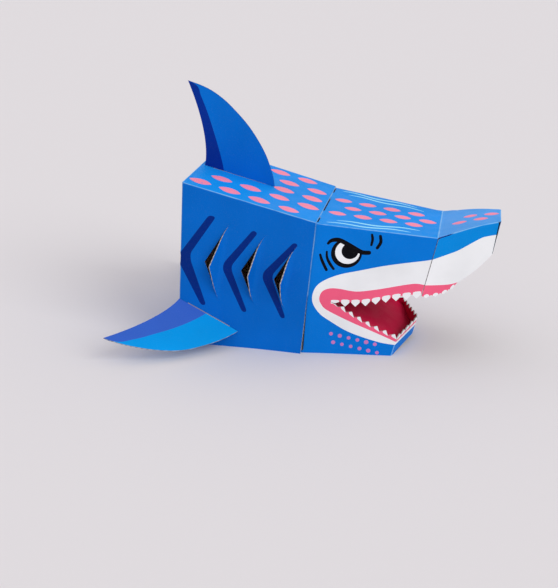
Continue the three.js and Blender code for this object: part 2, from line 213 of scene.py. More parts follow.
def mixColour(tree, factor, first, second):
    node = tree.nodes.new("ShaderNodeMix")
    node.data_type = "RGBA"
    tree.links.new(factor, node.inputs["Factor"])
    colours = [socket for socket in node.inputs if socket.type == "RGBA"]
    for socket, value in zip(colours, (first, second)):
        if isinstance(value, tuple):
            socket.default_value = value
        else:
            tree.links.new(value, socket)
    return [socket for socket in node.outputs if socket.type == "RGBA"][0]


def shaded(colour, factor):
    return tuple(min(channel * factor, 1.0) for channel in colour[:3]) + (1.0,)


def whitened(colour, share):
    return tuple(channel + (1 - channel) * share for channel in colour[:3]) + (1.0,)


def rubbed(colour):
    # ink worn thin over pale card
    return tuple(own * 0.4 + other * 0.6 for own, other in zip(colour, linear((166, 218, 246))))


def startMaterial(name):
    material = bpy.data.materials.new(name)
    material.use_nodes = True
    tree = material.node_tree
    shader = tree.nodes["Principled BSDF"]
    coordinate = tree.nodes.new("ShaderNodeTexCoord").outputs["Object"]
    return material, tree, shader, coordinate


def bumpNode(tree, shader, height, strength, distance):
    node = addNode(tree, "ShaderNodeBump", Strength=strength, Distance=distance)
    tree.links.new(height, node.inputs["Height"])
    tree.links.new(node.outputs["Normal"], shader.inputs["Normal"])


def inkMaterial(name):
    colour, roughness, specular, wear = inks[name]
    material, tree, shader, coordinate = startMaterial("ink_" + name)
    base = linear(colour)
    cloud = noiseNode(tree, coordinate, 9, 3)
    fibre = noiseNode(tree, coordinate, 900, 4, 0.6)
    speck = noiseNode(tree, coordinate, 240, 3, 0.7)
    toned = mixColour(tree, rangeNode(tree, cloud, 0.3, 0.7), shaded(base, 0.9), shaded(base, 1.07))
    grained = mixColour(tree, rangeNode(tree, fibre, 0.55, 0.8, 0, 0.1), toned, whitened(base, 0.3))
    # folds: a worn line that comes and goes, with a few chips down to the card
    fold = tree.nodes.new("ShaderNodeAttribute")
    fold.attribute_name = "fold"
    foldValue = fold.outputs["Fac"]
    patches = rangeNode(tree, noiseNode(tree, coordinate, 45, 3), 0.32, 0.62, 0.45, 1)
    worn = mixColour(tree, rangeNode(tree, mathNode(tree, "MULTIPLY", foldValue, patches), 0.15, 0.65, 0, min(1.0, wear * 1.6)),
                     grained, rubbed(base))
    chipValue = mathNode(tree, "ADD", mathNode(tree, "MULTIPLY", foldValue, 0.5), speck)
    chipped = mixColour(tree, rangeNode(tree, chipValue, 1.14, 1.17, 0, min(1.0, wear * 1.4)), worn,
                        linear((222, 226, 232)))
    tree.links.new(chipped, shader.inputs["Base Color"])
    rough = rangeNode(tree, noiseNode(tree, coordinate, 60, 3), 0.3, 0.7, roughness - 0.06, roughness + 0.08)
    tree.links.new(rough, shader.inputs["Roughness"])
    shader.inputs["Specular IOR Level"].default_value = specular
    # paper grain over the faint ridges of the fluting
    ridge = tree.nodes.new("ShaderNodeTexWave")
    ridge.bands_direction = "Z"
    ridge.inputs["Scale"].default_value = 55
    ridge.inputs["Distortion"].default_value = 0.6
    tree.links.new(coordinate, ridge.inputs["Vector"])
    height = mathNode(tree, "ADD", mathNode(tree, "MULTIPLY", ridge.outputs["Fac"], 0.12), fibre)
    bumpNode(tree, shader, mathNode(tree, "ADD", height, mathNode(tree, "MULTIPLY", speck, 0.8)), 0.16, 0.0004)
    return material


def boardMaterial(name, light, dark, fluted):
    material, tree, shader, coordinate = startMaterial(name)
    fibre = noiseNode(tree, coordinate, 520, 5, 0.65)
    cloud = noiseNode(tree, coordinate, 14, 3)
    mixed = mixColour(tree, rangeNode(tree, fibre, 0.35, 0.7), linear(board[dark]), linear(board[light]))
    toned = mixColour(tree, rangeNode(tree, cloud, 0.3, 0.75, 0, 0.35), mixed, linear(board[dark]))
    # the hollows of the flutes are darkened on the cut edge: painted shade
    if fluted:
        ridge = tree.nodes.new("ShaderNodeTexWave")
        ridge.bands_direction = "DIAGONAL"
        ridge.inputs["Scale"].default_value = 110
        ridge.inputs["Distortion"].default_value = 1.5
        tree.links.new(coordinate, ridge.inputs["Vector"])
        toned = mixColour(tree, rangeNode(tree, ridge.outputs["Fac"], 0.2, 0.6, 0.55, 0), toned, linear((96, 80, 66)))
    tree.links.new(toned, shader.inputs["Base Color"])
    tree.links.new(rangeNode(tree, fibre, 0.3, 0.7, 0.8, 0.95), shader.inputs["Roughness"])
    shader.inputs["Specular IOR Level"].default_value = 0.15
    bumpNode(tree, shader, fibre, 0.3, 0.0005)
    return material


materials = {name: inkMaterial(name) for name in inks}
materials["raw"] = boardMaterial("raw_board", "raw", "rawDark", False)
materials["core"] = boardMaterial("cut_edge", "core", "coreDark", True)
print("materials are made:", len(materials))

# ---------- sheets of card ----------
card = {
    "thickness": 1.5,
    "lap": 1.8,  # from a card's outer face to the next one under it
    "stripe": 1.8,  # half width of a rounded, worn fold
    "sink": 0.5,  # how far a fold's edge is crushed in
    "mesh": 9.0,  # size of the mesh on a panel
    "fade": 26.0,  # panels are stiff this near to a fold
}


def closest(points, segments):
    # distance of every point to the nearest of the segments
    best = np.full(len(points), 1e9)
    for start, end in segments:
        start, end = np.array(start, float), np.array(end, float)
        span = end - start
        share = np.clip(((points - start) @ span) / max(span @ span, 1e-9), 0, 1)
        best = np.minimum(best, np.linalg.norm(points - start - share[:, None] * span, axis=1))
    return best


def within(points, loop):
    # which points lie in a closed loop
    inside = np.zeros(len(points), bool)
    x, y = points[:, 0], points[:, 1]
    for (ax, ay), (bx, by) in zip(loop, loop[1:] + loop[:1]):
        if ay == by:
            continue
        crosses = (ay > y) != (by > y)
        inside ^= crosses & (x < (bx - ax) * (y - ay) / (by - ay) + ax)
    return inside


def insetLines(outline, folds, width):
    # lines inside the outline, parallel to its folds, that end on the cut edges beside them
    count = len(outline)
    turning = sum(a[0] * b[1] - b[0] * a[1] for a, b in zip(outline, outline[1:] + outline[:1]))
    sign = 1 if turning > 0 else -1

    def direction(index):
        step = Vector(outline[(index + 1) % count]) - Vector(outline[index])
        return step.normalized()

    def corner(index):
        # where the inset line meets the line of the segment before
        before, after = direction(index - 1), direction(index)
        here = Vector(outline[index])
        bend = before.x * after.y - before.y * after.x
        beforeFold, afterFold = (index - 1) % count in folds, index in folds
        if beforeFold and afterFold:
            normal = Vector((-before.y, before.x)) + Vector((-after.y, after.x))
            return here + normal * (sign * width / (normal.dot(Vector((-after.y, after.x)))))
        if abs(bend) < 0.05:
            return None
        if afterFold:
            return here - before * (width / abs(bend))
        return here + after * (width / abs(bend))

    lines = []
    for index in folds:
        start, end = corner(index), corner((index + 1) % count)
        if start is not None and end is not None:
            lines.append((tuple(start), tuple(end)))
    return lines


def panelMesh(panel):
    # Triangulates one flat panel with its holes, flaps and printed areas.
    # Returns 2D points, triangles, the ink of each triangle and its flap number.
    outline, spread = panel["outline"], panel["space"]
    folds = set(panel.get("folds", ()))
    step = panel.get("mesh", card["mesh"])
    points, edges = [], []

    def addLine(line, closed):
        first = len(points)
        points.extend(tuple(point) for point in line)
        last = first + len(line) - 1
        edges.extend((index, index + 1) for index in range(first, last))
        if closed:
            edges.append((last, first))

    rim = []
    count = len(outline)
    for index in range(count):
        start, end = outline[index], outline[(index + 1) % count]
        reach = (spread(*start) - spread(*end)).length / mm
        parts = max(1, round(reach / step))
        for part in range(parts):
            share = part / parts
            rim.append((start[0] + (end[0] - start[0]) * share, start[1] + (end[1] - start[1]) * share))
    addLine(rim, True)
    holes = [list(hole) for hole in panel.get("holes", ())]
    regions = [(list(loop), ink) for loop, ink in panel.get("regions", ())]
    innerRegions = [(list(loop), ink) for loop, ink in panel.get("innerRegions", ())]
    flaps = [list(flap) for flap in panel.get("flaps", ())]
    for loop in holes + [loop for loop, ink in regions + innerRegions]:
        addLine(loop, True)
    for flap in flaps:
        fine = []
        for start, end in zip(flap, flap[1:] + flap[:1]):
            parts = max(1, round(math.dist(start, end) / 4))
            fine += [(start[0] + (end[0] - start[0]) * part / parts,
                      start[1] + (end[1] - start[1]) * part / parts) for part in range(parts)]
        addLine(fine, True)
    for width in (card["stripe"], 2.2 * card["stripe"]):
        for line in insetLines(outline, folds, width):
            parts = max(1, round(math.dist(*line) / step))
            addLine([(line[0][0] + (line[1][0] - line[0][0]) * part / parts,
                      line[0][1] + (line[1][1] - line[0][1]) * part / parts) for part in range(parts + 1)], False)
    segments = [(points[a], points[b]) for a, b in edges]

    def latticeIn(loop, size, gap):
        corners = np.array(loop)
        low, high = corners.min(0), corners.max(0)
        rows = []
        for row in range(int((high[1] - low[1]) / (size * 0.87)) + 2):
            shift = size / 2 if row % 2 else 0
            for column in range(int((high[0] - low[0]) / size) + 2):
                rows.append((low[0] + shift + column * size, low[1] + row * size * 0.87))
        lattice = np.array(rows)
        lattice = lattice[within(lattice, loop)]
        return lattice[closest(lattice, segments) > gap] if len(lattice) else lattice

    lattice = latticeIn(outline, step, 0.42 * step)
    for flap in flaps:
        if len(lattice):
            lattice = lattice[~within(lattice, flap)]
        extra = latticeIn(flap, 4, 1.6)
        if len(extra):
            lattice = np.vstack([lattice, extra])
    points.extend(tuple(point) for point in lattice)
    made = delaunay_2d_cdt([Vector(point) for point in points], edges, [], 0, 1e-4)
    vertices = np.array([tuple(vertex) for vertex in made[0]])
    triangles = np.array([tuple(face) for face in made[2]])
    centres = vertices[triangles].mean(1)
    keep = within(centres, [tuple(point) for point in outline])
    for hole in holes:
        keep &= ~within(centres, hole)
    # flat slivers outside a straight edge would split the fold beside it
    corners = vertices[triangles]
    sides = corners[:, [1, 2, 0]] - corners
    doubled = np.abs(sides[:, 0, 0] * sides[:, 1, 1] - sides[:, 0, 1] * sides[:, 1, 0])
    flat = doubled / np.linalg.norm(sides, axis=2).max(1) < 0.0005
    rimLines = list(zip(rim, rim[1:] + rim[:1]))
    keep &= ~(flat & (closest(centres, rimLines) < 0.001))
    triangles, centres = triangles[keep], centres[keep]
    ink = np.array([panel["ink"]] * len(triangles), dtype=object)
    for loop, name in regions:
        ink[within(centres, loop)] = name
    inner = np.array([panel.get("inner", "raw")] * len(triangles), dtype=object)
    for loop, name in innerRegions:
        inner[within(centres, loop)] = name
    if panel.get("inner") == "same":
        inner = ink.copy()
    flapOf = np.full(len(triangles), -1)
    for number, flap in enumerate(flaps):
        flapOf[within(centres, flap)] = number
    foldSegments = [(outline[index], outline[(index + 1) % count]) for index in folds]
    return vertices, triangles, ink, inner, flapOf, foldSegments


def turnFlap(position, hinge, outward, angle, soft):
    # bends a flap out about its hinge, along an arc for the first few millimetres
    base, axis = hinge[0], (hinge[1] - hinge[0]).normalized()
    foot = base + axis * (position - base).dot(axis)
    away = position - foot
    distance = away.length
    if distance < 1e-7:
        return position
    away.normalize()
    bent = min(distance, soft)
    turnEnd = angle * bent / soft
    flat, rise = 0.0, 0.0
    parts = 8
    for part in range(parts):
        local = turnEnd * (part + 0.5) / parts
        flat += math.cos(local) * bent / parts
        rise += math.sin(local) * bent / parts
    rest = distance - bent
    flat += math.cos(turnEnd) * rest
    rise += math.sin(turnEnd) * rest
    normal = axis.cross(away).normalized()
    if normal.dot(outward) < 0:
        normal.negate()
    return foot + away * flat + normal * rise


def addPanel(sheet, panel):
    vertices, triangles, ink, inner, flapOf, foldSegments = panelMesh(panel)
    spread, outward = panel["space"], Vector(panel["outward"]).normalized()
    amount = panel.get("warp", 0.0)
    seed = Vector(panel.get("seed", (0, 0, 0)))
    stiff = closest(vertices, foldSegments) if foldSegments else np.full(len(vertices), 1e3)
    positions = []
    for (u, v), reach in zip(vertices, stiff):
        spot = spread(u, v)
        fade = min(1.0, max(0.0, (reach - card["stripe"]) / card["fade"]))
        fade = fade * fade * (3 - 2 * fade)
        lift = amount * noise.noise(spot * 9 + seed) * 1.6
        if "bulge" in panel:
            lift += panel["bulge"](u, v)
        positions.append(spot + outward * (lift * fade * mm))
    mesh, names = sheet["mesh"], sheet["inks"]
    cornerOf = {}

    def vertexAt(index, flap):
        key = (index, flap)
        if key not in cornerOf:
            cornerOf[key] = mesh.verts.new(positions[index] if flap < 0 else turned[flap][index])
            cornerOf[key][sheet["foldLayer"]] = 1.0 if flap < 0 and stiff[index] < 0.01 else 0.0
        return cornerOf[key]

    turned = []
    for number, flap in enumerate(panel.get("flaps", ())):
        ends = [Vector(flap[0]), Vector(flap[2])]
        hinge = []
        for end in ends:
            nearest = np.argmin(np.linalg.norm(vertices - np.array(end), axis=1))
            hinge.append(positions[nearest])
        onHinge = closest(vertices, [(flap[0], flap[2])]) < 0.01
        turned.append({})
        for index in set(triangles[flapOf == number].ravel()):
            if not onHinge[index]:
                turned[number][index] = turnFlap(
                    positions[index], hinge, outward, math.radians(panel["flapAngles"][number]), panel["flapBend"] * mm)
    for triangle, name, innerName, flap in zip(triangles, ink, inner, flapOf):
        corners = []
        for index in triangle:
            own = flap if flap >= 0 and index in turned[flap] else -1
            corners.append(vertexAt(int(index), int(own)))
        normal = (corners[1].co - corners[0].co).cross(corners[2].co - corners[0].co)
        if normal.length < 1e-14:
            continue
        flat = [positions[index] for index in triangle]
        if (flat[1] - flat[0]).cross(flat[2] - flat[0]).dot(outward) < 0:
            corners.reverse()
        face = mesh.faces.new(corners)
        face.material_index = names.index(name)
        face[sheet["innerLayer"]] = names.index(innerName)
        face[sheet["edgeLayer"]] = names.index(panel.get("edge", "core"))


def newSheet(inkNames):
    mesh = bmesh.new()
    mesh.faces.layers.int.new("inner")
    mesh.faces.layers.int.new("edge")
    mesh.verts.layers.float.new("fold")
    return {
        "mesh": mesh, "inks": list(inkNames) + ["raw", "core"],
        "innerLayer": mesh.faces.layers.int["inner"],
        "edgeLayer": mesh.faces.layers.int["edge"],
        "foldLayer": mesh.verts.layers.float["fold"],
    }


def offsetOf(vertex, depth):
    # the move that shifts every face round a vertex inwards by the depth
    normals = []
    for face in vertex.link_faces:
        if all(face.normal.dot(other) < 0.999 for other in normals):
            normals.append(face.normal.copy())
    if len(normals) == 1:
        return normals[0] * -depth
    system = np.array(normals)
    answer = np.linalg.lstsq(system, np.full(len(normals), -depth), rcond=0.2)[0]
    move = Vector(answer)
    limit = 1.9 * depth
    return move * (limit / move.length) if move.length > limit else move


def closeSheet(name, sheet, sink=True, centred=False, thickness=None, smooth=72):
    # welds the panels, crushes the folds, and gives the sheet its thickness and cut edges
    mesh, names = sheet["mesh"], sheet["inks"]
    depth = (thickness or card["thickness"]) * mm
    bmesh.ops.remove_doubles(mesh, verts=mesh.verts, dist=0.02 * mm)
    mesh.normal_update()
    fold = mesh.verts.layers.float["fold"]
    crushed = {}
    for edge in mesh.edges:
        if len(edge.link_faces) == 2 and min(vertex[fold] for vertex in edge.verts) > 0.5:
            angle = edge.calc_face_angle_signed()
            if abs(angle) > 0.1:
                for vertex in edge.verts:
                    crushed[vertex] = angle
    if sink:
        for vertex, angle in crushed.items():
            side = -1 if angle > 0 else 1
            vertex.co += vertex.normal * (side * card["sink"] * mm)
        mesh.normal_update()
    outer = list(mesh.verts)
    faces = list(mesh.faces)
    shift = {vertex: offsetOf(vertex, depth) for vertex in outer}
    if centred:
        for vertex in outer:
            vertex.co -= shift[vertex] / 2
    twin = {}
    for vertex in outer:
        twin[vertex] = mesh.verts.new(vertex.co + shift[vertex])
        twin[vertex][fold] = vertex[fold]
    for edge in [edge for edge in mesh.edges if len(edge.link_faces) == 1]:
        face = edge.link_faces[0]
        loop = [loop for loop in face.loops if loop.edge == edge][0]
        first, second = loop.vert, loop.link_loop_next.vert
        wall = mesh.faces.new((second, first, twin[first], twin[second]))
        wall.material_index = face[sheet["edgeLayer"]]
    for face in faces:
        back = mesh.faces.new([twin[vertex] for vertex in reversed(face.verts)])
        back.material_index = face[sheet["innerLayer"]]
    for vertex in mesh.verts:
        # a crushed corner keeps to the box of the solids
        vertex.co = [min(max(value, least), most) for value, least, most in zip(vertex.co, cadLow, cadHigh)]
    data = bpy.data.meshes.new(name)
    mesh.to_mesh(data)
    mesh.free()
    for layer in ("inner", "edge"):
        data.attributes.remove(data.attributes[layer])
    for ink in names:
        data.materials.append(materials[ink])
    data.polygons.foreach_set("use_smooth", [True] * len(data.polygons))
    data.set_sharp_from_angle(angle=math.radians(smooth))
    piece = bpy.data.objects.new(name, data)
    bpy.context.scene.collection.objects.link(piece)
    return piece


def finishPiece(piece, slotName, *nodes):
    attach(piece, "root")
    if nodes:
        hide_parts(*nodes)
    print(piece.name, "has", len(piece.data.polygons), "faces")


def slit(start, end, width):
    # long narrow hole about a line
    start, end = Vector(start), Vector(end)
    across = (end - start).normalized().orthogonal() * (width / 2)
    return [tuple(point) for point in (start - across, end - across, end + across, start + across)]


def roundLoop(points, radius):
    # closed outline with its corners rounded off
    loop = []
    for before, here, after in zip(points[-1:] + points[:-1], points, points[1:] + points[:1]):
        before, here, after = Vector(before), Vector(here), Vector(after)
        start = here + (before - here) * min(0.48, radius / max((before - here).length, 1e-6))
        end = here + (after - here) * min(0.48, radius / max((after - here).length, 1e-6))
        loop += [tuple(start * (1 - t) ** 2 + here * (2 * t * (1 - t)) + end * t * t)
                 for t in (0, 0.2, 0.4, 0.6, 0.8, 1)]
    return loop


def catmull(p0, p1, p2, p3, t):
    return 0.5 * (2 * p1 + (p2 - p0) * t + (2 * p0 - 5 * p1 + 4 * p2 - p3) * t * t
                  + (3 * p1 - p0 - 3 * p2 + p3) * t * t * t)


def smoothLine(points, parts=4):
    # open curve through the points
    points = [Vector(point) for point in points]
    full = [2 * points[0] - points[1]] + points + [2 * points[-1] - points[-2]]
    line = []
    for index in range(len(points) - 1):
        for part in range(parts):
            line.append(tuple(catmull(*full[index:index + 4], part / parts)))
    line.append(tuple(points[-1]))
    return line


# ---------- head card ----------
head = {
    "rearHeight": 240, "rearWidth": 240,
    "seamAlong": 191, "seamHeight": 197, "seamWidth": 224, "seamFoot": 180,
    "flapAngles": [60, 70, 74], "flapBend": 12,
    "gills": [  # fold top, free apex and fold foot, as shares of the seam's length and height
        [(0.381, 0.96), (0.186, 0.64), (0.309, 0.333)],
        [(0.641, 0.885), (0.463, 0.595), (0.58, 0.326)],
        [(0.878, 0.828), (0.712, 0.55), (0.809, 0.308)],
    ],
    "bands": [  # printed chevrons: top, outer corner, foot and back up inside
        [(39.7, 195.2), (-2, 134), (-2.5, 124), (32, 59.9), (39.3, 60.6), (15.2, 126), (14.5, 137), (49.8, 193.2)],
        [(103.1, 178.6), (63.2, 127), (61.8, 117), (92.5, 54.6), (99.5, 55.8), (75, 116), (74.8, 124), (110.4, 174.8)],
        [(161.9, 165.3), (120.5, 118), (119.5, 108), (149.1, 50.4), (155.6, 51.5), (134.2, 107.5), (134, 115.5), (168.6, 162.1)],
    ],
    "warp": 0.9, "gape": 4.2, "rearHollow": 1.4,
}
sideTaper = (head["rearWidth"] - head["seamWidth"]) / 2 / head["seamAlong"]
topFall = (head["rearHeight"] - head["seamHeight"]) / head["seamAlong"]


def headHalf(along):
    return head["rearWidth"] / 2 - sideTaper * along


def headTop(along):
    return head["rearHeight"] - topFall * along


fins = {
    "dorsal": {
        "root": 109, "height": 114.5, "sweep": 55.5, "hollow": 1.6, "start": 5.5,
        "leading": [(1, 0), (0.913, 0.177), (0.649, 0.497), (0.24, 0.794), (-0.148, 0.962), (-0.355, 0.994)],
    },
    "pectoral": {
        "root": 97, "height": 128.5, "sweep": 62, "hollow": 1.4, "rootHeight": 67, "rootFall": 26, "droop": 28,
        "leading": [(1, 0), (0.83, 0.23), (0.62, 0.445), (0.42, 0.613), (0.12, 0.776), (-0.157, 0.882),
                    (-0.389, 0.952)],
    },
    "tabInset": 14, "tabDepth": 4.2, "foot": 11, "gap": 0.3,
}


def gape(u, v):
    # the front lower corner of the head's side panel stands off the face
    ahead = max(0.0, (u - 100) / 90)
    low = max(0.0, 1 - v / 120)
    return head["gape"] * ahead ** 2 * low ** 1.3


def makeHead():
    sheet = newSheet(["headBluePaintedShade", "topBluePaintedSheen", "rearBluePaintedShade", "navy", "core"])
    seamAlong, seamFoot = head["seamAlong"], head["seamFoot"]
    fall = math.radians(fins["pectoral"]["rootFall"])
    inset, root = fins["tabInset"] - fins["gap"], fins["pectoral"]["root"]
    tabLine = [(reach * math.cos(fall), fins["pectoral"]["rootHeight"] - reach * math.sin(fall))
               for reach in (inset, root - inset)]
    flaps = [[(seamAlong * a, head["seamHeight"] * b) for a, b in gill] for gill in head["gills"]]
    for sign in (-1, 1):
        addPanel(sheet, {
            "outline": [(0, 0), (seamFoot, 0), (seamAlong, head["seamHeight"]), (0, head["rearHeight"])],
            "folds": (2, 3),
            "space": lambda u, v, s=sign: place(u, s * headHalf(u), v),
            "outward": (sign, -sideTaper, 0),
            "ink": "headBluePaintedShade",
            "regions": [(roundLoop(band, 5), "navy") for band in head["bands"]],
            "holes": [slit(*tabLine, 2.4)],
            "flaps": flaps,
            "flapAngles": head["flapAngles"], "flapBend": head["flapBend"],
            "warp": head["warp"], "seed": (3 * sign, 1, 0),
            "bulge": gape,
        })
    rearHalf, frontHalf = head["rearWidth"] / 2, head["seamWidth"] / 2
    slope = math.atan(topFall)
    start, dorsalRoot = fins["dorsal"]["start"], fins["dorsal"]["root"]
    dorsalLine = [(start + reach * math.cos(slope), 0) for reach in (inset, dorsalRoot - inset)]
    addPanel(sheet, {
        "outline": [(0, -rearHalf), (seamAlong, -frontHalf), (seamAlong, frontHalf), (0, rearHalf)],
        "folds": (0, 2, 3),
        "space": lambda u, v: place(u, v, headTop(u)),
        "outward": (0, -topFall, 1),
        "ink": "topBluePaintedSheen",
        "holes": [slit(*dorsalLine, 2.1)],
        "warp": 0.7, "seed": (0, 5, 2),
    })
    addPanel(sheet, {
        "outline": [(-rearHalf, 0), (rearHalf, 0), (rearHalf, head["rearHeight"]), (-rearHalf, head["rearHeight"])],
        "folds": (1, 2, 3),
        "space": lambda u, v: place(0, u, v),
        "outward": (0, 1, 0),
        "ink": "rearBluePaintedShade",
        "warp": 0.8, "seed": (7, 2, 1),
        "bulge": lambda u, v: -head["rearHollow"],
    })
    piece = closeSheet("head_card", sheet)
    finishPiece(piece, "printed_card_blue", "head_shell")
    return piece


headCard = makeHead()

# ---------- face card ----------
face = {
    "bendAlong": 361, "bendHeight": 181, "bendWidth": 154, "bendFootAlong": 345, "bendFootHeight": 94,
    "tipAlong": 447, "tipHeight": 202, "tipWidth": 70, "tipFootAlong": 440, "tipFootHeight": 152.5,
    "arch": 2.5, "slitEnd": 383, "slitWidth": 2.2, "seamGap": 0.8, "tipBack": 0.9, "tuck": 18, "frontGap": 3.0, "frontInset": 2.0,
    "bendTab": 12, "frontTab": 8,
    "corner": (217, 80), "upperEnd": 98, "upperTeeth": 9, "upperTooth": 7.2, "firstUpper": 0.38, "firstLower": 0.2,
    "snoutRoots": [(365.3, 95.4), (377, 99), (385, 104), (392, 110)], "snoutRootStart": 93.4,
    "snoutTeeth": 4, "snoutTooth": 3.6,
    "lowerTeeth": 8, "lowerTooth": 6.3, "lowerSag": 8, "lowerTip": 0.73,
    "chinAlong": 310, "chinPoint": 23, "chinHeight": 26, "chinSlope": 0.2143, "chinFootRise": 7, "chinTopRise": 5,
    "chinTeeth": 5, "chinTooth": 5.5,
    "whiteAtChin": 17, "gumAtChin": 21.6, "whiteAtPoint": 21, "gumAtPoint": 26,
    # printed edges between blue, white and gum, from the bend back round the mouth's corner to the chin
    "whiteEdge": [(355.0, 148.6), (345.6, 146.5), (311.2, 140.7), (283.7, 135.2), (256.3, 128.2), (228.9, 121.2),
                  (208.6, 112.2), (196.6, 102), (191.9, 88), (193.9, 74.8), (204.6, 60), (219.3, 49.8),
                  (241.3, 36.8), (263.2, 28.3), (292.2, 20.1)],
    "gumEdge": [(348.1, 110.4), (334.6, 111.7), (313.8, 107.9), (286.2, 101.6), (258.5, 96.8), (244.5, 97.1),
                (230.3, 99.5), (216.3, 99.8), (205.4, 94.8), (201.8, 84.1), (205.1, 75.2), (214.1, 66.4),
                (247.6, 50.1), (276.7, 38.1), (298.7, 28.8)],
    "snoutWhite": [(356.7, 148.8), (379.4, 156.6), (392.8, 162), (419.3, 177.2), (430.2, 180.5), (444.6, 182.4)],
    "snoutGumEdge": [(343, 110.6), (355.7, 109.6), (369.6, 109.2), (380.8, 109.4), (387.8, 110.4), (393.5, 112)],
    "redTop": 122,  # the inside is printed red up to here
    "warp": 0.8,
}
eye = {
    "ring": ((235.8, 153), 21.6), "white": ((237.2, 154.6), 17.2), "pupil": ((240.5, 156.5), 11.8),
    "lid": [(220, 172.4), (254.3, 156.4)],
    "brow": [(209.5, 166.6), (213.4, 170.8), (220, 172.5), (227, 171.4), (239.8, 164.8), (254.3, 156.6), (260, 155.1),
             (266.8, 155.2)],
    "browWidths": [3.6, 5.2, 6.2, 6.4, 6.6, 6.6, 6.4, 6.2],
    "creases": [  # short folds of skin, behind and before the eye, with their widths
        ([(199.5, 149.7), (202.6, 140.8), (209.3, 127.5)], [3.2, 4.2, 4.2]),
        ([(208.4, 154.5), (209.2, 145.8), (213.5, 137.1), (219.1, 129.3)], [2.8, 3.6, 4.2, 3.8]),
        ([(269.3, 181.8), (270.6, 174.9), (269.4, 166.8)], [3.4, 4.0, 3.4]),
        ([(281.0, 180.2), (282.2, 171.3), (277.9, 162.7)], [4.2, 4.6, 4.4]),
    ],
}


def planeThrough(a, b, c):
    # half width on the flat panel through three points of (along, half, height)
    normal = (Vector(b) - Vector(a)).cross(Vector(c) - Vector(a))
    return lambda along, height: a[1] - (normal.x * (along - a[0]) + normal.z * (height - a[2])) / normal.y


lap = card["lap"]
seamTopFace = head["seamHeight"] - lap
faceHalf = planeThrough(
    (head["seamAlong"], headHalf(head["seamAlong"]) - lap, head["seamHeight"]),
    (head["seamFoot"], headHalf(head["seamFoot"]) - lap, 0),
    (face["bendAlong"], face["bendWidth"] / 2, face["bendHeight"]))
snoutHalf = planeThrough(
    (face["bendAlong"], face["bendWidth"] / 2, face["bendHeight"]),
    (face["bendFootAlong"], faceHalf(face["bendFootAlong"], face["bendFootHeight"]), face["bendFootHeight"]),
    (face["tipAlong"], face["tipWidth"] / 2, face["tipHeight"]))


def seamAt(height):
    return head["seamFoot"] + (head["seamAlong"] - head["seamFoot"]) * height / head["seamHeight"]


def bendLine(height):
    share = (height - face["bendFootHeight"]) / (face["bendHeight"] - face["bendFootHeight"])
    return face["bendFootAlong"] + (face["bendAlong"] - face["bendFootAlong"]) * share


def tipLine(height):
    share = (height - face["tipFootHeight"]) / (face["tipHeight"] - face["tipFootHeight"])
    return face["tipFootAlong"] + (face["tipAlong"] - face["tipFootAlong"]) * share


def snoutTop(along):
    share = (along - face["bendAlong"]) / (face["tipAlong"] - face["bendAlong"])
    arch = face["arch"] * math.sin(math.pi * max(share, 0) ** 1.3)
    return face["bendHeight"] + (face["tipHeight"] - face["bendHeight"]) * share + arch


def faceTop(along):
    if along >= face["bendAlong"]:
        return snoutTop(along)
    share = (along - head["seamAlong"]) / (face["bendAlong"] - head["seamAlong"])
    return seamTopFace + (face["bendHeight"] - seamTopFace) * share


def bezier(a, b, c, t):
    return a * (1 - t) ** 2 + b * (2 * t * (1 - t)) + c * t * t


def evenly(points, count):
    # points at equal steps of length on a line through many points
    lengths = [0]
    for a, b in zip(points, points[1:]):
        lengths.append(lengths[-1] + math.dist(a, b))
    line = []
    for number in range(count + 1):
        goal = lengths[-1] * number / count
        index = max(k for k in range(len(points) - 1) if lengths[k] <= goal + 1e-9)
        span = lengths[index + 1] - lengths[index]
        share = (goal - lengths[index]) / span if span else 0
        a, b = points[index], points[index + 1]
        line.append((a[0] + (b[0] - a[0]) * share, a[1] + (b[1] - a[1]) * share))
    return line


def toothCurves():
    # the lines that the roots of the three rows of teeth stand on
    corner = Vector(face["corner"])
    rise = face["upperEnd"] - corner.y
    reach = bendLine(face["upperEnd"]) - corner.x
    upper = smoothLine([(corner.x + reach * a, corner.y + rise * b)
                        for a, b in ((0, 0), (0.35, 0.08), (0.68, 0.6), (1, 1))], 12)
    chinTop = Vector((face["chinAlong"] + face["chinSlope"] * face["chinHeight"], face["chinHeight"]))
    middle = (corner + chinTop) / 2 - Vector((0, face["lowerSag"]))
    lower = [tuple(bezier(corner, middle, chinTop, part / 40)) for part in range(41)]
    low = face["snoutRootStart"]
    return upper, lower, smoothLine([(bendLine(low) + face["seamGap"], low)] + face["snoutRoots"], 8)


def toothSizes(count, length, first):
    # the tooth in the mouth's corner is small
    return [length * (first if number == 0 else 1) for number in range(count)]


def toothRow(curve, sizes, tip):
    # cut edge of a row: for each tooth its root, flanks and slightly blunt tip
    count = len(sizes)
    fine = evenly(curve, count * 40)
    edge = []
    for tooth, size in enumerate(sizes):
        edge.append(fine[tooth * 40])
        for share, height in ((tip * 0.5, 0.52), (tip - 0.035, 0.98), (tip + 0.035, 0.98), ((1 + tip) / 2, 0.52)):
            spot = fine[round((tooth + share) * 40)]
            edge.append((spot[0], spot[1] + size * height))
    edge.append(fine[-1])
    return edge


roundTooth = [(-0.42, 0), (-0.38, 0.7), (-0.22, 1.0), (0.22, 1.0), (0.38, 0.7), (0.42, 0)]
narrowTooth = [(-0.3, 0), (-0.2, 0.6), (0, 1.0), (0.2, 0.6), (0.3, 0)]
backTooth = [(-0.12, -1.6), (-0.1, -1.2), (0.06, -0.4), (0.46, 0.5), (0.49, 0.2)]


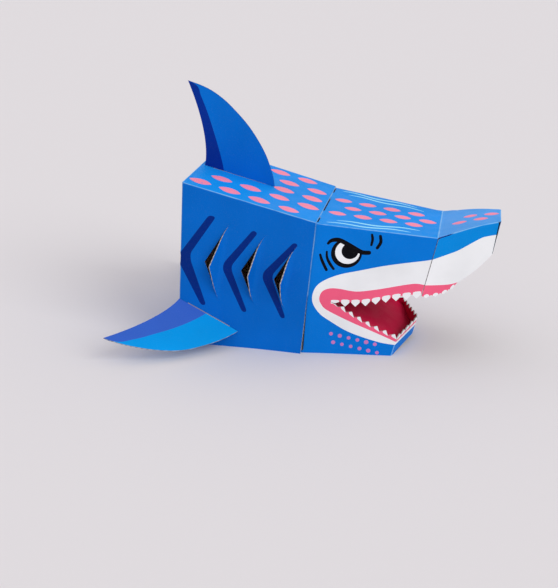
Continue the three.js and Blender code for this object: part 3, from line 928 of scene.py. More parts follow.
def toothInks(curve, sizes, depth, profile):
    # printed tooth: its root in the gum by the profile, and the rest out past the cut edge
    fine = evenly(curve, len(sizes) * 20)
    loops = []
    for tooth, size in enumerate(sizes):
        over = size * 1.08 + (0.3 if size > 0 else -0.3)
        root = []
        for share, height in profile:
            spot = fine[min(len(fine) - 1, round((tooth + 0.5 + share) * 20))]
            root.append((spot[0], spot[1] - height * depth * (min(1, abs(size) / 4))))
        first, last = (fine[round((tooth + 0.5 + profile[end][0]) * 20)] for end in (0, -1))
        loops.append(([(first[0], first[1] + over)] + root + [(last[0], last[1] + over)], "white"))
    return loops


def discLoop(centre, radius, parts=40):
    return [(centre[0] + radius * math.cos(2 * math.pi * k / parts),
             centre[1] + radius * math.sin(2 * math.pi * k / parts)) for k in range(parts)]


def cutBelow(loop, start, end):
    # the part of a loop under a line
    start, end = Vector(start), Vector(end)
    side = Vector((-(end - start).y, (end - start).x)).normalized()
    kept = []
    for a, b in zip(loop, loop[1:] + loop[:1]):
        a, b = Vector(a), Vector(b)
        da, db = (a - start).dot(side), (b - start).dot(side)
        if da <= 0:
            kept.append(tuple(a))
        if (da < 0) != (db < 0):
            kept.append(tuple(a + (b - a) * (da / (da - db))))
    return kept


def strokeLoop(points, widths):
    # brush stroke with round ends along a smooth line
    line = smoothLine(points, 3)
    wide = smoothLine([(width, 0) for width in widths], 3)
    left, right = [], []
    for index, spot in enumerate(line):
        after, before = Vector(line[min(index + 1, len(line) - 1)]), Vector(line[max(index - 1, 0)])
        across = (after - before).normalized().orthogonal() * (wide[index][0] / 2)
        left.append(Vector(spot) + across)
        right.append(Vector(spot) - across)
    loop = [tuple(point) for point in left]
    for start, end, centre in ((left[-1], right[-1], line[-1]), (right[0], left[0], line[0])):
        if centre is line[0]:
            loop += [tuple(point) for point in reversed(right)]
        spoke = start - Vector(centre)
        turn = -1 if spoke.orthogonal().dot(Vector(line[-1]) - Vector(line[-2])) > 0 else 1
        for part in range(1, 8):
            angle = math.pi * part / 8
            loop.append(tuple(Vector(centre) + Matrix.Rotation(-angle, 2) @ spoke))
    return loop


def eyeRegions():
    regions = []
    for part, ink in (("ring", "black"), ("white", "white"), ("pupil", "black")):
        regions.append((cutBelow(discLoop(*eye[part]), *eye["lid"]), ink))
    strokes = [(eye["brow"], eye["browWidths"])] + eye["creases"]
    return regions + [(strokeLoop(line, widths), "black") for line, widths in strokes]


def makeFace():
    sheet = newSheet(["faceBlue", "snoutBluePaintedLight", "topBluePaintedSheen", "snoutTop", "navy", "white", "gum", "black", "crimson"])
    seamAlong, seamFoot, tuck = head["seamAlong"], head["seamFoot"], face["tuck"]
    upper, lower, snoutLine = toothCurves()
    chinCorner = lambda height: (face["chinAlong"] + face["chinSlope"] * height, height)
    gap = face["seamGap"]
    bendTop = (face["bendAlong"], face["bendHeight"])
    upperSizes = toothSizes(face["upperTeeth"], -face["upperTooth"], face["firstUpper"])
    lowerSizes = toothSizes(face["lowerTeeth"], face["lowerTooth"], face["firstLower"])
    snoutSizes = toothSizes(face["snoutTeeth"], -face["snoutTooth"], 1)
    upperEdge = toothRow(upper, upperSizes, 0.5)
    lowerEdge = toothRow(lower, lowerSizes, face["lowerTip"])
    side = [(seamFoot, 0), (face["chinAlong"], 0), chinCorner(face["whiteAtChin"]), chinCorner(face["gumAtChin"])]
    chinFolds = (1, 2, 3)
    side += lowerEdge[::-1] + upperEdge[1:] + [bendTop, (seamAlong, seamTopFace)]
    count = len(side)
    white = smoothLine(face["whiteEdge"] + [chinCorner(face["whiteAtChin"])])
    gum = smoothLine(face["gumEdge"] + [chinCorner(face["gumAtChin"])])
    whiteLoop = [(372, 149)] + white + [(335, 17), (372, 60)]
    gumLoop = [(372, 110.4)] + gum + [(335, 21.6), (372, 60)]
    regions = [(whiteLoop, "white"), (gumLoop, "gum")]
    regions += toothInks(upper, upperSizes, -3.4, roundTooth)
    regions += toothInks(lower, lowerSizes, 1.0, backTooth)
    regions += eyeRegions()
    sideEnd = face["tipAlong"] - face["frontGap"]
    stations = [face["slitEnd"] + (sideEnd - face["slitEnd"]) * part / 8 for part in range(9)]
    slitStations = [face["slitEnd"] + (face["bendAlong"] + gap - face["slitEnd"]) * part / 3 for part in range(1, 4)]
    bow = [tuple(bezier(Vector(face["snoutRoots"][-1]), Vector((421, 128.5)),
                        Vector((face["tipFootAlong"] - 1.2, face["tipFootHeight"])), part / 6)) for part in range(1, 7)]
    snoutRow = toothRow(snoutLine, snoutSizes, 0.5)
    topEdge = [(along, snoutTop(along)) for along in reversed(stations)]
    slitEdge = [(along, snoutTop(along) - face["slitWidth"] * (face["slitEnd"] - along) / 22) for along in slitStations]
    snout = snoutRow + bow + topEdge + slitEdge
    topStart = len(snoutRow) + len(bow)
    snoutWhite = smoothLine(face["snoutWhite"])
    snoutRegions = [
        (snoutWhite + [(460, 182.4), (460, 90), (335, 90), (335, 141)], "white"),
        (smoothLine(face["snoutGumEdge"]) + [(393.5, 80), (335, 80), (335, 110.6)], "gum"),
    ] + toothInks(snoutLine, snoutSizes, -2.6, narrowTooth)
    for sign in (-1, 1):
        addPanel(sheet, {  # tucked inside the head card
            "outline": [(seamFoot - tuck, 0), (seamFoot, 0), (seamAlong, seamTopFace),
                        (seamAlong - tuck, headTop(seamAlong - tuck) - lap)],
            "folds": (1, 2),
            "space": lambda u, v, s=sign: place(u, s * (headHalf(u) - lap), v),
            "outward": (sign, -sideTaper, 0),
            "ink": "faceBlue",
        })
        normal = Vector((sign, -0.194, -0.0085 * 1))
        addPanel(sheet, {
            "outline": side,
            "folds": chinFolds + (count - 2, count - 1),
            "space": lambda u, v, s=sign: place(u, s * faceHalf(u, v), v),
            "outward": normal,
            "ink": "faceBlue",
            "regions": regions,
            "holes": [[(seamAt(85) + 0.3, 85), (seamAt(4) + 0.3, 4), (seamAt(4) + 3.2, 4)]],
            "innerRegions": [([(196, -5), (372, -5), (372, face["redTop"]), (196, face["redTop"])], "crimson")],
            "warp": face["warp"], "seed": (sign * 2, 4, 7),
        })
        addPanel(sheet, {
            "outline": snout,
            "folds": tuple(range(topStart, topStart + len(topEdge) - 1)),
            "space": lambda u, v, s=sign: place(u, s * snoutHalf(u, v), v),
            "outward": (sign, -0.504, -0.0655),
            "ink": "snoutBluePaintedLight",
            "regions": snoutRegions,
            "innerRegions": [([(335, 80), (460, 80), (460, face["redTop"]), (335, face["redTop"])], "crimson")],
            "warp": 0.3, "seed": (sign * 5, 1, 3),
        })
        addPanel(sheet, {  # glue tab behind the seam at the bend
            "outline": [(-3, 101), (face["bendTab"], 108), (face["bendTab"], 172), (-3, 177)],
            "space": lambda u, v, s=sign: place(bendLine(v) - u, s * (faceHalf(bendLine(v) - u, v) - lap - 0.1), v),
            "outward": (sign, -0.194, 0),
            "ink": "faceBlue",
            "regions": [([(-9, 90), (20, 90), (20, 146), (-9, 149)], "white")],
            "innerRegions": [([(-9, 90), (20, 90), (20, face["redTop"]), (-9, face["redTop"])], "crimson")],
        })
        addPanel(sheet, {  # tab of the front panel, black on its face and cut edges as painted shade, seen as a dark line in its gap
            "outline": [(0, face["tipFootHeight"]), (face["frontTab"], face["tipFootHeight"] + 4),
                        (face["frontTab"], face["tipHeight"] - 5), (0, face["tipHeight"])],
            "folds": (3,),
            "space": lambda u, v, s=sign: place(tipLine(v) - u, s * (snoutHalf(tipLine(v) - u, v) - face["frontInset"]), v),
            "outward": (sign, -0.504, -0.0655),
            "ink": "black", "edge": "black",
        })
    seamHalf = headHalf(seamAlong) - lap
    tuckHalf = headHalf(seamAlong - tuck) - lap
    topFolds = (0, 1, 2, 3)
    addPanel(sheet, {
        "outline": [(seamAlong - tuck, -tuckHalf), (seamAlong, -seamHalf), (seamAlong, seamHalf), (seamAlong - tuck, tuckHalf)],
        "folds": (0, 1, 2),
        "space": lambda u, v: place(u, v, headTop(u) - lap),
        "outward": (0, -topFall, 1),
        "ink": "topBluePaintedSheen",
    })
    bendHalf = face["bendWidth"] / 2
    dashes = [(-103, -76), (-37, 37), (76, 103)]
    addPanel(sheet, {
        "outline": [(seamAlong, -seamHalf), (bendTop[0], -bendHalf), (bendTop[0], bendHalf), (seamAlong, seamHalf)],
        "folds": (0, 1, 2, 3),
        "space": lambda u, v: place(u, v, faceTop(u)),
        "outward": (0, -0.08, 1),
        "ink": "topBluePaintedSheen",
        "holes": [[(seamAlong + 0.3, a), (seamAlong + 2.2, a), (seamAlong + 2.2, b), (seamAlong + 0.3, b)]
                  for a, b in dashes],
        "warp": 0.6, "seed": (1, 8, 2),
    })
    forward = [(along, -snoutHalf(along, snoutTop(along))) for along in stations]
    slitSide = [(along, -snoutHalf(along, snoutTop(along))) for along in reversed(slitStations[:-1])]
    tipCorner = (face["tipAlong"] - face["tipBack"], -face["tipWidth"] / 2)
    rightEdge = [(face["bendAlong"], -bendHalf)] + slitSide + forward + [tipCorner]
    leftEdge = [(u, -v) for u, v in reversed(rightEdge)]
    first = 1 + len(slitSide)
    frontHalf = face["tipWidth"] / 2 - face["frontInset"]
    top = rightEdge + [(face["tipAlong"], -frontHalf), (face["tipAlong"], frontHalf)] + leftEdge
    tipSegment = len(rightEdge)
    foldsRight = tuple(range(first, tipSegment - 2))
    foldsLeft = tuple(len(top) - 2 - index for index in foldsRight)
    addPanel(sheet, {
        "outline": top,
        "folds": foldsRight + (tipSegment,) + foldsLeft + (len(top) - 1,),
        "space": lambda u, v: place(u, v, snoutTop(u)),
        "outward": (0, 0.25, 1),
        # the top takes the lighter snout-top blue, a painted sheen, and its cut edges take the navy ink, painted shade
        # in the slits beside them
        "ink": "snoutTop", "edge": "navy",
    })
    footHalf = snoutHalf(face["tipFootAlong"], face["tipFootHeight"]) - face["frontInset"]
    addPanel(sheet, {
        "outline": [(-footHalf, face["tipFootHeight"]), (footHalf, face["tipFootHeight"]),
                    (frontHalf, face["tipHeight"]), (-frontHalf, face["tipHeight"])],
        "folds": (1, 2, 3),
        "space": lambda u, v: place(tipLine(v), u, v),
        "outward": (0, -1, 0.14),
        "ink": "snoutBluePaintedLight",
        "regions": [([(-60, 182.4), (-60, 140), (60, 140), (60, 182.4)], "white")],
    })
    # chin halves: u runs from the corner (0) to the middle crease (reach)
    reach = math.hypot(faceHalf(face["chinAlong"], 0), face["chinPoint"])

    def chinSpace(u, v, s):
        along = face["chinAlong"] + face["chinSlope"] * v
        share = u / reach
        return place(along + face["chinPoint"] * share, s * faceHalf(along, v) * (1 - share), v)

    crease = face["chinHeight"] + face["chinTopRise"]
    chinLine = [(0, face["chinHeight"]), (reach, crease)]
    chinSizes = toothSizes(face["chinTeeth"], face["chinTooth"], 1)
    chinRow = toothRow(chinLine, chinSizes, 0.5)
    chinOutline = [(0, 0), (reach, face["chinFootRise"]), (reach, face["whiteAtPoint"]), (reach, face["gumAtPoint"])]
    chinOutline += chinRow[::-1] + [(0, face["gumAtChin"]), (0, face["whiteAtChin"])]
    chinCount = len(chinOutline)
    for sign in (-1, 1):
        addPanel(sheet, {
            "outline": chinOutline,
            "folds": (1, 2, 3, chinCount - 3, chinCount - 2, chinCount - 1),
            "space": lambda u, v, s=sign: chinSpace(u, v, s),
            "outward": (sign * 0.26, -0.96, -0.1),
            "ink": "faceBlue",
            "regions": [
                ([(0, face["whiteAtChin"]), (reach, face["whiteAtPoint"]), (reach + 9, 60), (-9, 60)], "white"),
                ([(0, face["gumAtChin"]), (reach, face["gumAtPoint"]), (reach + 9, 60), (-9, 60)], "gum"),
            ] + toothInks(chinLine, chinSizes, 1.4, roundTooth),
            "inner": "crimson",
        })
    piece = closeSheet("face_card", sheet)
    finishPiece(piece, "printed_card_face", "face_shell")
    return piece


faceCard = makeFace()

# ---------- red lining of the mouth ----------
lining = {"rear": (212, 76), "slope": 0.525, "flange": 13, "flangeFrom": 218, "flangeTo": 298, "warp": 2.2}


def makeLining():
    sheet = newSheet(["crimson"])
    rearAlong, rearHeight = lining["rear"]
    steep = math.hypot(1, face["chinPoint"] / faceHalf(face["chinAlong"], 0))
    spread = math.hypot(1, 0.194)

    def heightAt(along):
        return rearHeight - lining["slope"] * (along - rearAlong)

    def halfAt(along):
        return faceHalf(along, heightAt(along)) - lap * spread

    def chinBack(side):
        # length along at which the lining meets the back of the chin
        along = face["chinAlong"]
        for _ in range(12):
            corner = faceHalf(face["chinAlong"], 0)
            along = (face["chinAlong"] + face["chinPoint"] * (1 - abs(side) / corner)
                     + face["chinSlope"] * heightAt(along) - (lap + 0.3) * steep)
        return along

    front = face["chinAlong"]
    for _ in range(12):
        front = chinBack(halfAt(front))
    stops = [rearAlong, lining["flangeFrom"], lining["flangeTo"], front]
    right = [(along, -halfAt(along)) for along in stops]
    outline = right + [(chinBack(0), 0)] + [(u, -v) for u, v in reversed(right)]
    addPanel(sheet, {
        "outline": outline, "folds": (1, 6),
        "space": lambda u, v: place(u, v, heightAt(u)),
        "outward": (0, -lining["slope"], 1),
        "ink": "crimson", "warp": lining["warp"], "seed": (4, 4, 4), "mesh": 7,
    })
    for sign in (-1, 1):
        addPanel(sheet, {
            "outline": [(lining["flangeFrom"], 0), (lining["flangeTo"], 0),
                        (lining["flangeTo"] - 4, lining["flange"]), (lining["flangeFrom"] + 4, lining["flange"])],
            "folds": (0,),
            "space": lambda u, v, s=sign: place(u, s * (faceHalf(u, heightAt(u) - v) - lap * spread), heightAt(u) - v),
            "outward": (sign, -0.194, 0),
            "ink": "crimson",
        })
    piece = closeSheet("mouth_card", sheet, sink=False)
    finishPiece(piece, "printed_card_crimson", "mouth_lining")
    return piece


makeLining()

# ---------- fins, made by a rule in Geometry Nodes ----------
tones = {  # where the darker rear zone of each fin ends, in the fin's own millimetres
    "dorsal": [(30.0, 0), (22.6, 15.1), (11.2, 35.1), (-2.5, 57.5), (-17.8, 80.7), (-31.9, 99.4), (-41.6, 111.5)],
    "pectoral": [(44.4, 0), (33.8, 21.1), (16.9, 48.7), (-4.9, 78.3), (-23.7, 102.4), (-46.7, 124.5)],
}


def startTree(name, sizes):
    tree = bpy.data.node_groups.new(name, "GeometryNodeTree")
    tree.interface.new_socket("Geometry", in_out="OUTPUT", socket_type="NodeSocketGeometry")
    kinds = {float: "NodeSocketFloat", int: "NodeSocketInt", tuple: "NodeSocketVector"}
    for label, value in sizes.items():
        kind = "NodeSocketObject" if isinstance(value, bpy.types.Object) else kinds[type(value)]
        tree.interface.new_socket(label, in_out="INPUT", socket_type=kind)
    given = tree.nodes.new("NodeGroupInput").outputs
    return tree, given


def endTree(tree, geometry, inksOn):
    # realises everything, then sets the inks: each entry is a material name and a selection or None
    realize = tree.nodes.new("GeometryNodeRealizeInstances")
    tree.links.new(geometry, realize.inputs[0])
    last = realize.outputs[0]
    for name, selection in inksOn:
        setter = addNode(tree, "GeometryNodeSetMaterial", Material=materials[name])
        tree.links.new(last, setter.inputs["Geometry"])
        if selection is not None:
            tree.links.new(selection, setter.inputs["Selection"])
        last = setter.outputs[0]
    tree.links.new(last, tree.nodes.new("NodeGroupOutput").inputs[0])


def runTree(name, tree, sizes):
    # evaluates a tree on an empty mesh and keeps the result as a plain one
    holder = bpy.data.objects.new(name, bpy.data.meshes.new(name + "Start"))
    bpy.context.scene.collection.objects.link(holder)
    modifier = holder.modifiers.new("build", "NODES")
    modifier.node_group = tree
    for item in tree.interface.items_tree:
        if item.in_out == "INPUT":
            modifier[item.identifier] = sizes[item.name]
    graph = bpy.context.evaluated_depsgraph_get()
    made = bpy.data.meshes.new_from_object(holder.evaluated_get(graph))
    holder.modifiers.remove(modifier)
    holder.data = made
    made.name = name
    return holder


def linkTo(tree, socket, value):
    if isinstance(value, bpy.types.NodeSocket):
        tree.links.new(value, socket)
    else:
        socket.default_value = value


def combine(tree, x, y, z):
    node = tree.nodes.new("ShaderNodeCombineXYZ")
    for socket, value in zip(node.inputs, (x, y, z)):
        linkTo(tree, socket, value)
    return node.outputs[0]


def vectorNode(tree, operation, first, second):
    node = tree.nodes.new("ShaderNodeVectorMath")
    node.operation = operation
    linkTo(tree, node.inputs[0], first)
    linkTo(tree, node.inputs["Scale"] if operation == "SCALE" else node.inputs[1], second)
    return node.outputs[0]


def ruleCurve(tree, value, points, reach):
    # distance across the fin as a smooth curve over its height; the curve itself runs from 0 to 1
    node = tree.nodes.new("ShaderNodeFloatCurve")
    curve = node.mapping.curves[0]
    shares = sorted((height, 0.5 + across / (2 * reach)) for across, height in points)
    curve.points[0].location = shares[0]
    curve.points[1].location = shares[-1]
    for share in shares[1:-1]:
        curve.points.new(*share)
    node.mapping.update()
    tree.links.new(value, node.inputs["Value"])
    return mathNode(tree, "MULTIPLY", mathNode(tree, "SUBTRACT", node.outputs[0], 0.5), 2 * reach)


def storeNode(tree, geometry, name, kind, domain, value, selection=None):
    node = tree.nodes.new("GeometryNodeStoreNamedAttribute")
    node.data_type = kind
    node.domain = domain
    node.inputs["Name"].default_value = name
    tree.links.new(geometry, node.inputs["Geometry"])
    linkTo(tree, node.inputs["Value"], value)
    if selection is not None:
        tree.links.new(selection, node.inputs["Selection"])
    return node.outputs[0]


def namedNode(tree, name, kind):
    node = tree.nodes.new("GeometryNodeInputNamedAttribute")
    node.data_type = kind
    node.inputs["Name"].default_value = name
    return node.outputs["Attribute"]


def closedLayer(tree, geometry, move, sideName):
    # gives open faces a thickness along a vector and closes them underneath
    extrude = tree.nodes.new("GeometryNodeExtrudeMesh")
    extrude.inputs["Individual"].default_value = False
    tree.links.new(geometry, extrude.inputs["Mesh"])
    linkTo(tree, extrude.inputs["Offset"], move)
    extrude.inputs["Offset Scale"].default_value = 1.0
    marked = storeNode(tree, extrude.outputs["Mesh"], sideName, "BOOLEAN", "FACE", True, extrude.outputs["Side"])
    flip = tree.nodes.new("GeometryNodeFlipFaces")
    tree.links.new(geometry, flip.inputs["Mesh"])
    join = tree.nodes.new("GeometryNodeJoinGeometry")
    tree.links.new(marked, join.inputs[0])
    tree.links.new(flip.outputs[0], join.inputs[0])
    merge = tree.nodes.new("GeometryNodeMergeByDistance")
    merge.inputs["Distance"].default_value = 0.000002
    tree.links.new(join.outputs[0], merge.inputs[0])
    return merge.outputs[0]


def finTree(kind, rearInk, frontInk, edgeInk):
    fin = fins[kind]
    sizes = {
        "Root": fin["root"] * mm, "Height": fin["height"] * mm, "Sweep": fin["sweep"] * mm, "Hollow": fin["hollow"],
        "Thickness": card["thickness"] * mm, "Foot Gap": fins["gap"] * mm, "Bow": fin["bow"] * mm,
        "Columns": 25, "Rows": 31,
    }
    tree, given = startTree(kind + "FinRule", sizes)
    grid = addNode(tree, "GeometryNodeMeshGrid", Size_X=1.0, Size_Y=1.0)
    tree.links.new(given["Columns"], grid.inputs["Vertices X"])
    tree.links.new(given["Rows"], grid.inputs["Vertices Y"])
    split = tree.nodes.new("ShaderNodeSeparateXYZ")
    tree.links.new(tree.nodes.new("GeometryNodeInputPosition").outputs[0], split.inputs[0])
    across = mathNode(tree, "ADD", split.outputs["X"], 0.5)
    zoned = storeNode(tree, grid.outputs["Mesh"], "zone", "FLOAT", "FACE", across)
    # rows gather towards the tip, where the leading edge turns over
    level = mathNode(tree, "SINE", mathNode(tree, "MULTIPLY", mathNode(tree, "ADD", split.outputs["Y"], 0.5), math.pi / 2), 0)
    reach = fin["root"] * 1.02
    tip = (-fin["sweep"] * mm, 1.0)
    leading = [(x * fin["root"] * mm, y) for x, y in fin["leading"]] + [tip]
    tone = [(x * mm, y / fin["height"]) for x, y in tones[kind]] + [tip]
    front = ruleCurve(tree, level, leading, reach * mm)
    middle = ruleCurve(tree, level, tone, reach * mm)
    rear = mathNode(tree, "MULTIPLY", mathNode(tree, "POWER", level, given["Hollow"]),
                    mathNode(tree, "MULTIPLY", given["Sweep"], -1.0))
    firstHalf = mathNode(tree, "MINIMUM", mathNode(tree, "MULTIPLY", across, 2.0), 1.0)
    secondHalf = mathNode(tree, "MAXIMUM", mathNode(tree, "SUBTRACT", mathNode(tree, "MULTIPLY", across, 2.0), 1.0), 0.0)
    x = mathNode(tree, "ADD", rear, mathNode(tree, "MULTIPLY", mathNode(tree, "SUBTRACT", middle, rear), firstHalf))
    x = mathNode(tree, "ADD", x, mathNode(tree, "MULTIPLY", mathNode(tree, "SUBTRACT", front, middle), secondHalf))
    rise = mathNode(tree, "SUBTRACT", given["Height"], given["Foot Gap"])
    y = mathNode(tree, "ADD", mathNode(tree, "MULTIPLY", level, rise), given["Foot Gap"])
    arch = mathNode(tree, "MULTIPLY", level, mathNode(tree, "SUBTRACT", 1.0, level))
    bend = mathNode(tree, "MULTIPLY", mathNode(tree, "MULTIPLY", arch, 4.0), given["Bow"])
    z = mathNode(tree, "SUBTRACT", bend, mathNode(tree, "MULTIPLY", given["Thickness"], 0.5))
    move = tree.nodes.new("GeometryNodeSetPosition")
    tree.links.new(zoned, move.inputs["Geometry"])
    tree.links.new(combine(tree, x, y, z), move.inputs["Position"])
    body = closedLayer(tree, move.outputs[0], combine(tree, 0.0, 0.0, given["Thickness"]), "cutEdge")
    isRear = mathNode(tree, "LESS_THAN", namedNode(tree, "zone", "FLOAT"), 0.5)
    endTree(tree, body, [(frontInk, None), (rearInk, isRear), (edgeInk, namedNode(tree, "cutEdge", "BOOLEAN"))])
    return tree, sizes


def plateInto(mesh, corners, depth, material):
    # closed plate: four corners and the vector through its thickness
    low = [mesh.verts.new(corner) for corner in corners]
    high = [mesh.verts.new(corner + depth) for corner in corners]
    faces = [mesh.faces.new(low[::-1]), mesh.faces.new(high)]
    for index in range(4):
        after = (index + 1) % 4
        faces.append(mesh.faces.new((low[index], low[after], high[after], high[index])))
    for made in faces:
        made.material_index = material
    return faces


def makeFin(name, kind, origin, forwards, outwards, inner, slotName, node, rearInk, frontInk, edgeInk):
    tree, sizes = finTree(kind, rearInk, frontInk, edgeInk)
    piece = runTree(name, tree, sizes)
    fin = fins[kind]
    across = forwards.cross(outwards)
    turn = Matrix((forwards, outwards, across)).transposed().to_4x4()
    data = piece.data
    data.transform(Matrix.Translation(origin) @ turn)
    data.materials.append(materials["raw"])
    rawIndex = len(data.materials) - 1
    mesh = bmesh.new()
    mesh.from_mesh(data)
    # the tab through the slot, and its two feet turned apart under the card
    inset, deep, thick = fins["tabInset"], fins["tabDepth"], card["thickness"]
    half = across * (thick / 2 * mm)

    def spot(x, y):
        return origin + forwards * (x * mm) + outwards * (y * mm)

    tab = [spot(inset, -deep), spot(fin["root"] - inset, -deep), spot(fin["root"] - inset, fins["gap"]),
           spot(inset, fins["gap"])]
    plateInto(mesh, [corner - half for corner in tab], half * 2, rawIndex)
    sideways = inner.cross(forwards).normalized()
    middle = fin["root"] / 2
    for start, end, turned in ((inset + 0.3, middle - 0.3, -1), (middle + 0.3, fin["root"] - inset - 0.3, 1)):
        base = [spot(start, 0) + inner * (lap * mm), spot(end, 0) + inner * (lap * mm)]
        reachOut = sideways * (turned * fins["foot"] * mm)
        back = sideways * (-turned * thick / 2 * mm)
        corners = [base[0] + back, base[1] + back, base[1] + reachOut, base[0] + reachOut]
        plateInto(mesh, corners, inner * (thick * mm), rawIndex)
    bmesh.ops.recalc_face_normals(mesh, faces=mesh.faces)
    mesh.to_mesh(data)
    mesh.free()
    for attribute in ("zone", "cutEdge"):
        if attribute in data.attributes:
            data.attributes.remove(data.attributes[attribute])
    data.polygons.foreach_set("use_smooth", [True] * len(data.polygons))
    data.set_sharp_from_angle(angle=math.radians(40))
    finishPiece(piece, slotName, node)
    return piece


def makeFins():
    slopeForwards = Vector((0, -1, -topFall)).normalized()
    slopeUp = Vector((0, -topFall, 1)).normalized()
    start = fins["dorsal"]["start"]
    # the dorsal fin's cut edges take the navy ink: painted shade along its edges
    makeFin("dorsal_blade", "dorsal", place(start, 0, headTop(start)), slopeForwards, slopeUp, -slopeUp,
            "printed_card_fin", "dorsal_fin", "finNavy", "finBlue", "navy")
    fall, droop = math.radians(fins["pectoral"]["rootFall"]), math.radians(fins["pectoral"]["droop"])
    for sign, word in ((-1, "right"), (1, "left")):
        forwards = Vector((-sign * sideTaper * math.cos(fall), -math.cos(fall), -math.sin(fall))).normalized()
        square = Vector((sign, -sideTaper, 0)).normalized()
        under = square.cross(forwards) * sign
        if under.z > 0:
            under.negate()
        outwards = square * math.cos(droop) + under * math.sin(droop)
        makeFin("pectoral_blade_" + word, "pectoral", place(0, sign * headHalf(0), fins["pectoral"]["rootHeight"]),
                forwards, outwards, -square, "printed_card_fin", "pectoral_fin_" + word, "finPurplePrintAndSheen", "finSkyPrintAndSheen", "core")


fins["dorsal"]["bow"] = 1.0
fins["pectoral"]["bow"] = 1.6
makeFins()

# ---------- printed layers, laid on the card by Geometry Nodes ----------
ink = {"proud": 0.08, "sunk": 0.16}


def pressOn(tree, given, geometry):
    # carries flat faces along the ray on to the card and makes them a thin closed layer of ink
    target = tree.nodes.new("GeometryNodeObjectInfo")
    target.transform_space = "RELATIVE"
    tree.links.new(given["Card"], target.inputs["Object"])
    ray = tree.nodes.new("GeometryNodeRaycast")
    ray.data_type = "FLOAT"
    tree.links.new(target.outputs["Geometry"], ray.inputs["Target Geometry"])
    tree.links.new(given["Ray"], ray.inputs["Ray Direction"])
    ray.inputs["Ray Length"].default_value = 1.0
    sunk = vectorNode(tree, "SCALE", given["Ray"], ink["sunk"] * mm)
    move = tree.nodes.new("GeometryNodeSetPosition")
    tree.links.new(geometry, move.inputs["Geometry"])
    tree.links.new(vectorNode(tree, "ADD", ray.outputs["Hit Position"], sunk), move.inputs["Position"])
    rise = vectorNode(tree, "SCALE", given["Ray"], -(ink["sunk"] + ink["proud"]) * mm)
    return closedLayer(tree, move.outputs[0], rise, "inkEdge")


def onPanel(tree, given, a, b):
    # a and b measured from the panel's own origin along its two axes
    first = vectorNode(tree, "SCALE", given["Axis A"], a)
    second = vectorNode(tree, "SCALE", given["Axis B"], b)
    return vectorNode(tree, "ADD", given["Origin"], vectorNode(tree, "ADD", first, second))


